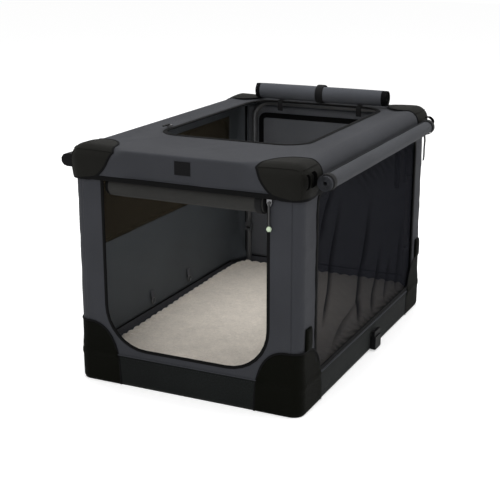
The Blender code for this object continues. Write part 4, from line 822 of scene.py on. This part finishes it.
quarter = WALL_R * math.pi / 4
reach_end, reach_side = quarter + REACH_END - WALL_R, quarter + REACH_SIDE - WALL_R
bend = np.sin(np.linspace(-math.pi / 2, math.pi / 2, 61))
step = np.where(bend < 0, bend * reach_side, bend * reach_end)
reach = np.where(bend < 0, reach_side, reach_end)
beyond = np.clip((np.abs(step) - quarter) / (reach - quarter), 0, 1)
top = PATCH_HEIGHT * (1 - beyond ** ROUNDNESS) ** (1 / ROUNDNESS)
share = np.linspace(0, 1, 22)
height = 0.0008 + top[:, None] * share[None, :]
u = FLAT_Y + quarter + step[:, None] + 0 * height
rim_near = np.minimum(1, np.minimum((1 - share[None, :]) * top[:, None] / 0.012, (1 - beyond[:, None]) / 0.12))
below_skirt = np.clip((SKIRT_COMES_TO - height) / 0.014, 0, 1)
puff = 0.0004 + below_skirt * (0.0006 + 0.0007 * np.clip(rim_near, 0, 1) ** 0.6 + 0.0002 * ripple(u, height, 71))
over_seam = np.where(u > FLAT_Y + quarter, BAND_END, BAND_SIDE)
puff = puff + SEAM_HUMP * np.exp(-((height - over_seam - 0.0004) / 0.0040) ** 2)
puff = puff - 0.003 * np.clip(1 - height / 0.004, 0, 1) ** 2
for sx, sy, word in CORNERS:
    patch = surface("corner_patch_" + word, at_corner(sx, sy, u, height, puff), np.stack([u, height], -1),
                    patch_cloth, thickness=0.0006)
    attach(patch, "base")
    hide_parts("lower_patch_" + word)
    edge_line, beside = (at_corner(sx, sy, u[:, -1], height[:, -1], out) for out in (0.0009, 0.0112))
    away = (beside - edge_line) / np.linalg.norm(beside - edge_line, axis=1, keepdims=True)
    across = np.cross(headings(edge_line), away)
    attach(tape("patch_edge_" + word, edge_line, across, away, 0.0036, 0.0010), "base")

# Leg hinge covers: small black padded tabs on the side walls, above the lower patches. Each hides one
# leg hinge, and rides on the base with the wall.
TAB_BEFORE_CORNER, TAB_MIDDLE, TAB_HALF_U, TAB_HALF_V = 0.0118, 0.1275, 0.0120, 0.0190
a, b = np.meshgrid(np.linspace(-1, 1, 25), np.linspace(-1, 1, 25), indexing="ij")
u = FLAT_Y - TAB_BEFORE_CORNER + a * TAB_HALF_U * (1 - 0.06 * b * b)
v = TAB_MIDDLE + b * TAB_HALF_V
round_edge = np.clip((1 - np.abs(a) ** 4) * (1 - np.abs(b) ** 6), 0, 1)
puff = 0.0004 + 0.0046 * round_edge ** 0.45
for sx, sy, word in CORNERS:
    tab = surface("hinge_cover_" + word, at_corner(sx, sy, u, v, puff), np.stack([u, v], -1), patch_cloth,
                  thickness=0.0009)
    crumple(tab)

# Left window cover: a panel of shell cloth with rounded corners, zipped shut over the left window. The
# zip's black tape goes round it.
def round_cornered(a, b, half_x, half_y, radius):
    """A grid over a rounded rectangle. The square in each corner is mapped to a quarter disc: p and q go
    to p * sqrt(1 - q * q / 2) and q * sqrt(1 - p * p / 2)."""
    x, y = a * half_x, b * half_y
    p = np.clip((np.abs(x) - half_x + radius) / radius, 0, 1)
    q = np.clip((np.abs(y) - half_y + radius) / radius, 0, 1)
    x = np.where(p > 0, np.sign(x) * (half_x - radius + radius * p * np.sqrt(1 - q * q / 2)), x)
    y = np.where(q > 0, np.sign(y) * (half_y - radius + radius * q * np.sqrt(1 - p * p / 2)), y)
    return x, y


COVER_R, COVER_LAP = 0.036, 0.010
hole_low, hole_high, _ = windows[-1]
cover_half = tuple((high - low) / 2 + COVER_LAP for low, high in zip(hole_low, hole_high))
cover_middle = tuple((high + low) / 2 for low, high in zip(hole_low, hole_high))
a, b = np.meshgrid(np.linspace(-1, 1, 120), np.linspace(-1, 1, 44), indexing="ij")
u, v = round_cornered(a, b, *cover_half, COVER_R)
u, v = u + cover_middle[0], v + cover_middle[1]
puff = 0.0002 + 0.0008 * np.clip((1 - a ** 6) * (1 - b ** 4), 0, 1) * (0.8 + 0.2 * ripple(u, v, 81, 0.2))
points = np.stack([-(WALL_X + puff + 0.0004), u, v], -1)
left_cover = surface("window_cover_cloth", points, np.stack([u, v], -1), shell_cloth, thickness=0.0010)
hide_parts("window_cover_left")
crumple(left_cover)
line, _ = rounded(*cover_half, COVER_R, cover_middle, (20, 60))
path = np.insert(line, 0, -(WALL_X + 0.0006), 1)
to_the_left = np.array([-1.0, 0, 0])
crumple(tape("window_cover_zip", path, flat_frame(path, to_the_left), to_the_left, 0.0070, 0.0018, closed=True))

# Rolled covers: the covers of the doorway, the top opening and the right window, each rolled up tightly
# and tied with webbing. A cover's black taped edges show at the two ends of its roll.
roll_cloth = woven("rolled_cover_cloth", (0.046, 0.048, 0.054), 0.0009)
top_roll_cloth = woven("rolled_top_cloth", (0.072, 0.076, 0.086), 0.0009)
mesh_door = woven("rolled_door_cloth", (0.0265, 0.0262, 0.0248), 0.0010)
webbing = woven("black_webbing", (0.0060, 0.0060, 0.0065), 0.0022, depth=0.5, roughness=0.75, shine=0.12)
ROLL_TURNS, ROLL_CORE, FREE_EDGE_AT, CREASES_AT = 5.0, 0.0035, 115, (150, 176, 198, 221, 247, 270)


def rolled(name, centre, axis, length, radius, cloth, edge_width, node, seed, crease=0.0):
    """A sheet wound up: the radius falls evenly with the turn, from the outside to the core, and soft
    waves along the roll make it uneven. It starts where its free edge lies, at the top rear. Each crease
    is a narrow bell curve across the turn, whose place winds along the roll."""
    angle = np.linspace(0, ROLL_TURNS * math.tau, int(ROLL_TURNS * 26))
    s = np.linspace(-length / 2, length / 2, 61)
    r = radius - (radius - ROLL_CORE) * angle / angle[-1]
    sag = 1 - 0.045 * np.abs(2 * s / length) ** 6
    uneven = 1 + 0.02 * ripple(s[None, :], angle[:, None] * 0.02, seed, 0.14)
    turn = angle + math.radians(FREE_EDGE_AT)
    pressed = 0
    for k, place in enumerate(CREASES_AT):
        off = (np.degrees(turn)[:, None] - place - 5 * np.sin(s[None, :] * (21 + 3 * k) + k) + 180) % 360 - 180
        pressed = pressed + np.exp(-(off / 5.0) ** 2) * (0.6 + 0.4 * np.sin(s[None, :] * 30 + 2 * k))
    rr = (r[:, None] * sag[None, :] * uneven - crease * pressed).clip(0, radius)
    first, second = rr * np.cos(turn)[:, None], rr * np.sin(turn)[:, None]
    ss = np.broadcast_to(s, rr.shape)
    points = np.stack([ss, first, second] if axis == "x" else [first, ss, second], -1) + centre
    wound = along(np.stack([r * np.cos(turn), r * np.sin(turn)], -1))
    uv = np.stack(np.broadcast_arrays(wound[:, None], s[None, :]), -1)
    roll = surface(name, points, uv, cloth, thickness=0.0007, outwards=False)
    roll.data.materials.append(tape_cloth)
    middle = np.abs(s[:-1] + s[1:]) / 2
    dark = np.broadcast_to(middle > length / 2 - edge_width, (len(angle) - 1, len(s) - 1))
    roll.data.polygons.foreach_set("material_index", np.ascontiguousarray(dark.reshape(-1), np.int32))
    on_lid(roll)
    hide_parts(node)


def tie_band(name, centre, axis, at, radius, width, node):
    """A webbing band round a roll: a flat oval outline swept round a circle, at a place along the roll."""
    angle = np.linspace(0, math.tau, 49)[:-1]
    order = [0, 1, 2] if axis == "x" else [1, 0, 2]
    out = np.stack([np.zeros(48), np.cos(angle), np.sin(angle)], -1)[:, order]
    side = np.array([1.0, 0, 0])[order]
    band = swept(name, np.array(centre) + side * at + out * radius, side, out, tape_section(width, 0.0014), webbing,
                 closed=True)
    on_lid(band)
    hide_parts(node)


top_centre, top_r = (0.0, 0.272, 0.4278), 0.0175
door_centre, door_r = (0.0, -0.2975, 0.3462), 0.0185
side_centre, side_r = (0.2248, 0.0, 0.379), 0.0130
rolled("top_cover_roll", top_centre, "x", 0.280, top_r, top_roll_cloth, 0.009, "top_roll", 91)
rolled("door_cover_roll", door_centre, "x", 0.288, door_r, mesh_door, 0.006, "door_roll", 92, crease=0.0009)
rolled("window_cover_roll", side_centre, "y", 0.548, side_r, roll_cloth, 0.0, "side_roll_right", 93)
tie_band("top_roll_band", top_centre, "x", 0.0, top_r + 0.0004, 0.016, "top_roll_tie")
tie_band("door_roll_band", door_centre, "x", 0.131, door_r - 0.0005, 0.012, "door_roll_tie")
tie_band("window_roll_band_front", side_centre, "y", -0.262, side_r + 0.0003, 0.014, "side_roll_tie_front")
tie_band("window_roll_band_rear", side_centre, "y", 0.262, side_r + 0.0003, 0.014, "side_roll_tie_rear")

# Small straps: two that hold the rolled top cover hang over the rear edge of the opening, the end of the
# side roll's rear tie hangs down, a loop sits on the right rear cap and two tabs on the right front cap.
dull_black = woven("dull_black_elastic", (0.0016, 0.0016, 0.0016), 0.0007, roughness=0.9, sheen=0.0, shine=0.0)


def strap(name, route, width, across, cloth=webbing):
    """A flat strap along a few points. The line through them is rounded off by moving each point of it
    three times to the mean of itself, twice, and its two neighbours."""
    route = np.array(route, float)
    at = along(route) / along(route)[-1]
    fine = np.linspace(0, 1, 28)
    smooth = np.stack([np.interp(fine, at, route[:, k]) for k in range(3)], -1)
    for _ in range(3):
        smooth[1:-1] = (smooth[:-2] + 2 * smooth[1:-1] + smooth[2:]) / 4
    return swept(name, smooth, across, np.cross(headings(smooth), across), tape_section(width, 0.0014), cloth)


for side, word in ((-1, "left"), (1, "right")):
    route = [(side * 0.085, y, z) for y, z in ((0.2700, 0.4112), (0.2625, 0.4116), (0.2580, 0.4090),
                                               (0.2575, 0.4020), (0.2590, 0.3900))]
    on_lid(strap("top_roll_strap_" + word, route, 0.011, (1, 0, 0)))
tail = strap("side_roll_tail_rear", ((0.2250, 0.2480, 0.3650), (0.2262, 0.2478, 0.3560), (0.2256, 0.2470, 0.3400),
                                     (0.2262, 0.2455, 0.3260), (0.2256, 0.2450, 0.3170)), 0.010, (0, 1, 0))
on_lid(tail)
for name, y, width, route in (
        ("cap_tab_front_right_1", -0.3150, 0.0075,
         ((0.2130, 0.4000), (0.2158, 0.3970), (0.2166, 0.3880), (0.2158, 0.3800), (0.2130, 0.3770))),
        ("cap_tab_front_right_2", -0.2940, 0.0130,
         ((0.2135, 0.4010), (0.2170, 0.3980), (0.2182, 0.3890), (0.2170, 0.3800), (0.2135, 0.3770))),
        ("cap_loop_rear_right", 0.2960, 0.016,
         ((0.2130, 0.3930), (0.2190, 0.3935), (0.2265, 0.3880), (0.2275, 0.3820), (0.2250, 0.3750),
          (0.2190, 0.3715), (0.2130, 0.3720)))):
    on_lid(strap(name, [(x, y, z) for x, z in route], width, (0, 1, 0), dull_black))

# Lead points: two small webbing tabs with wire rings, sewn low on the inner face of the left wall, for a
# lead. The rings are black plated wire.
slider_plating = painted_metal("slider_black_nickel", (0.16, 0.16, 0.165), 0.34, 1.0, 1500)
LEAD_POINTS = ((-0.0744, 0.0735), (0.0706, 0.0760))


def wire_ring(name, centre, radius, wire):
    """A closed ring of round wire, which hangs flat against the wall."""
    turn = np.linspace(0, math.tau, 33)[:-1]
    out = np.stack([np.zeros(32), np.cos(turn), np.sin(turn)], -1)
    return swept(name, np.array(centre) + out * radius, (1.0, 0, 0), out, cord_section(wire), slider_plating,
                 closed=True)


for number, (place, height) in enumerate(LEAD_POINTS, 1):
    route = [(-WALL_X + inwards, place, height + above) for inwards, above in
             ((0.0040, 0.012), (0.0046, 0.004), (0.0060, -0.002), (0.0044, -0.006))]
    tab = strap("lead_tab_%d" % number, route, 0.012, (0, 1, 0), band_lining)
    crumple(tab)
    lead_ring = wire_ring("lead_ring_%d" % number, (-WALL_X + 0.0062, place, height - 0.0080), 0.0060, 0.0009)
    crumple(lead_ring)

# Hardware: the zip sliders and pullers, the cover's loops, the label, the side buckle and its strap keep
# their CAD shapes. The sliders are plated, the door's puller is a black cord with a pale bead at its end,
# and the rest is black.
CORD_END, BEAD_START = 0.0090, 0.0086
moulded_black = painted_metal("moulded_black_plastic", (0.0045, 0.0045, 0.0050), 0.5, 0.0, 1800, 0.06)
bead_paint = painted_metal("pale_bead", (0.62, 0.72, 0.55), 0.3, 0.0, 1500)
bead_tree = bead_paint.node_tree
bead_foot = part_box("door_zip_puller")[0].z
bead_height = add_node(bead_tree, "SeparateXYZ", {0: add_node(bead_tree, "TexCoord", {}).outputs["Object"]})
cord_or_bead = add_node(bead_tree, "MapRange", {"Value": bead_height.outputs["Z"], "From Min": bead_foot + CORD_END,
                                                "From Max": bead_foot + BEAD_START})
bead_colour = add_node(bead_tree, "Mix", {})
bead_colour.data_type = "RGBA"
feed(bead_tree, bead_colour, {"Factor": cord_or_bead.outputs["Result"], "A": (0.006, 0.006, 0.006, 1),
                              "B": (0.55, 0.66, 0.48, 1)})
feed(bead_tree, bead_tree.nodes["Principled BSDF"], {"Base Color": bead_colour.outputs["Result"]})
coat(["door_zip_slider", "top_zip_slider"], slider_plating)
coat(["door_zip_puller"], bead_paint)
coat(["top_zip_puller", "buckle_socket", "buckle_prong", "pack_strap", "cover_loop_front_left",
      "cover_loop_rear_left", "woven_label"], moulded_black)

size = {"cad": [list(cad_box[0]), list(cad_box[1])]}
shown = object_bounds()
size["scene"] = [list(shown[0]), list(shown[1])]
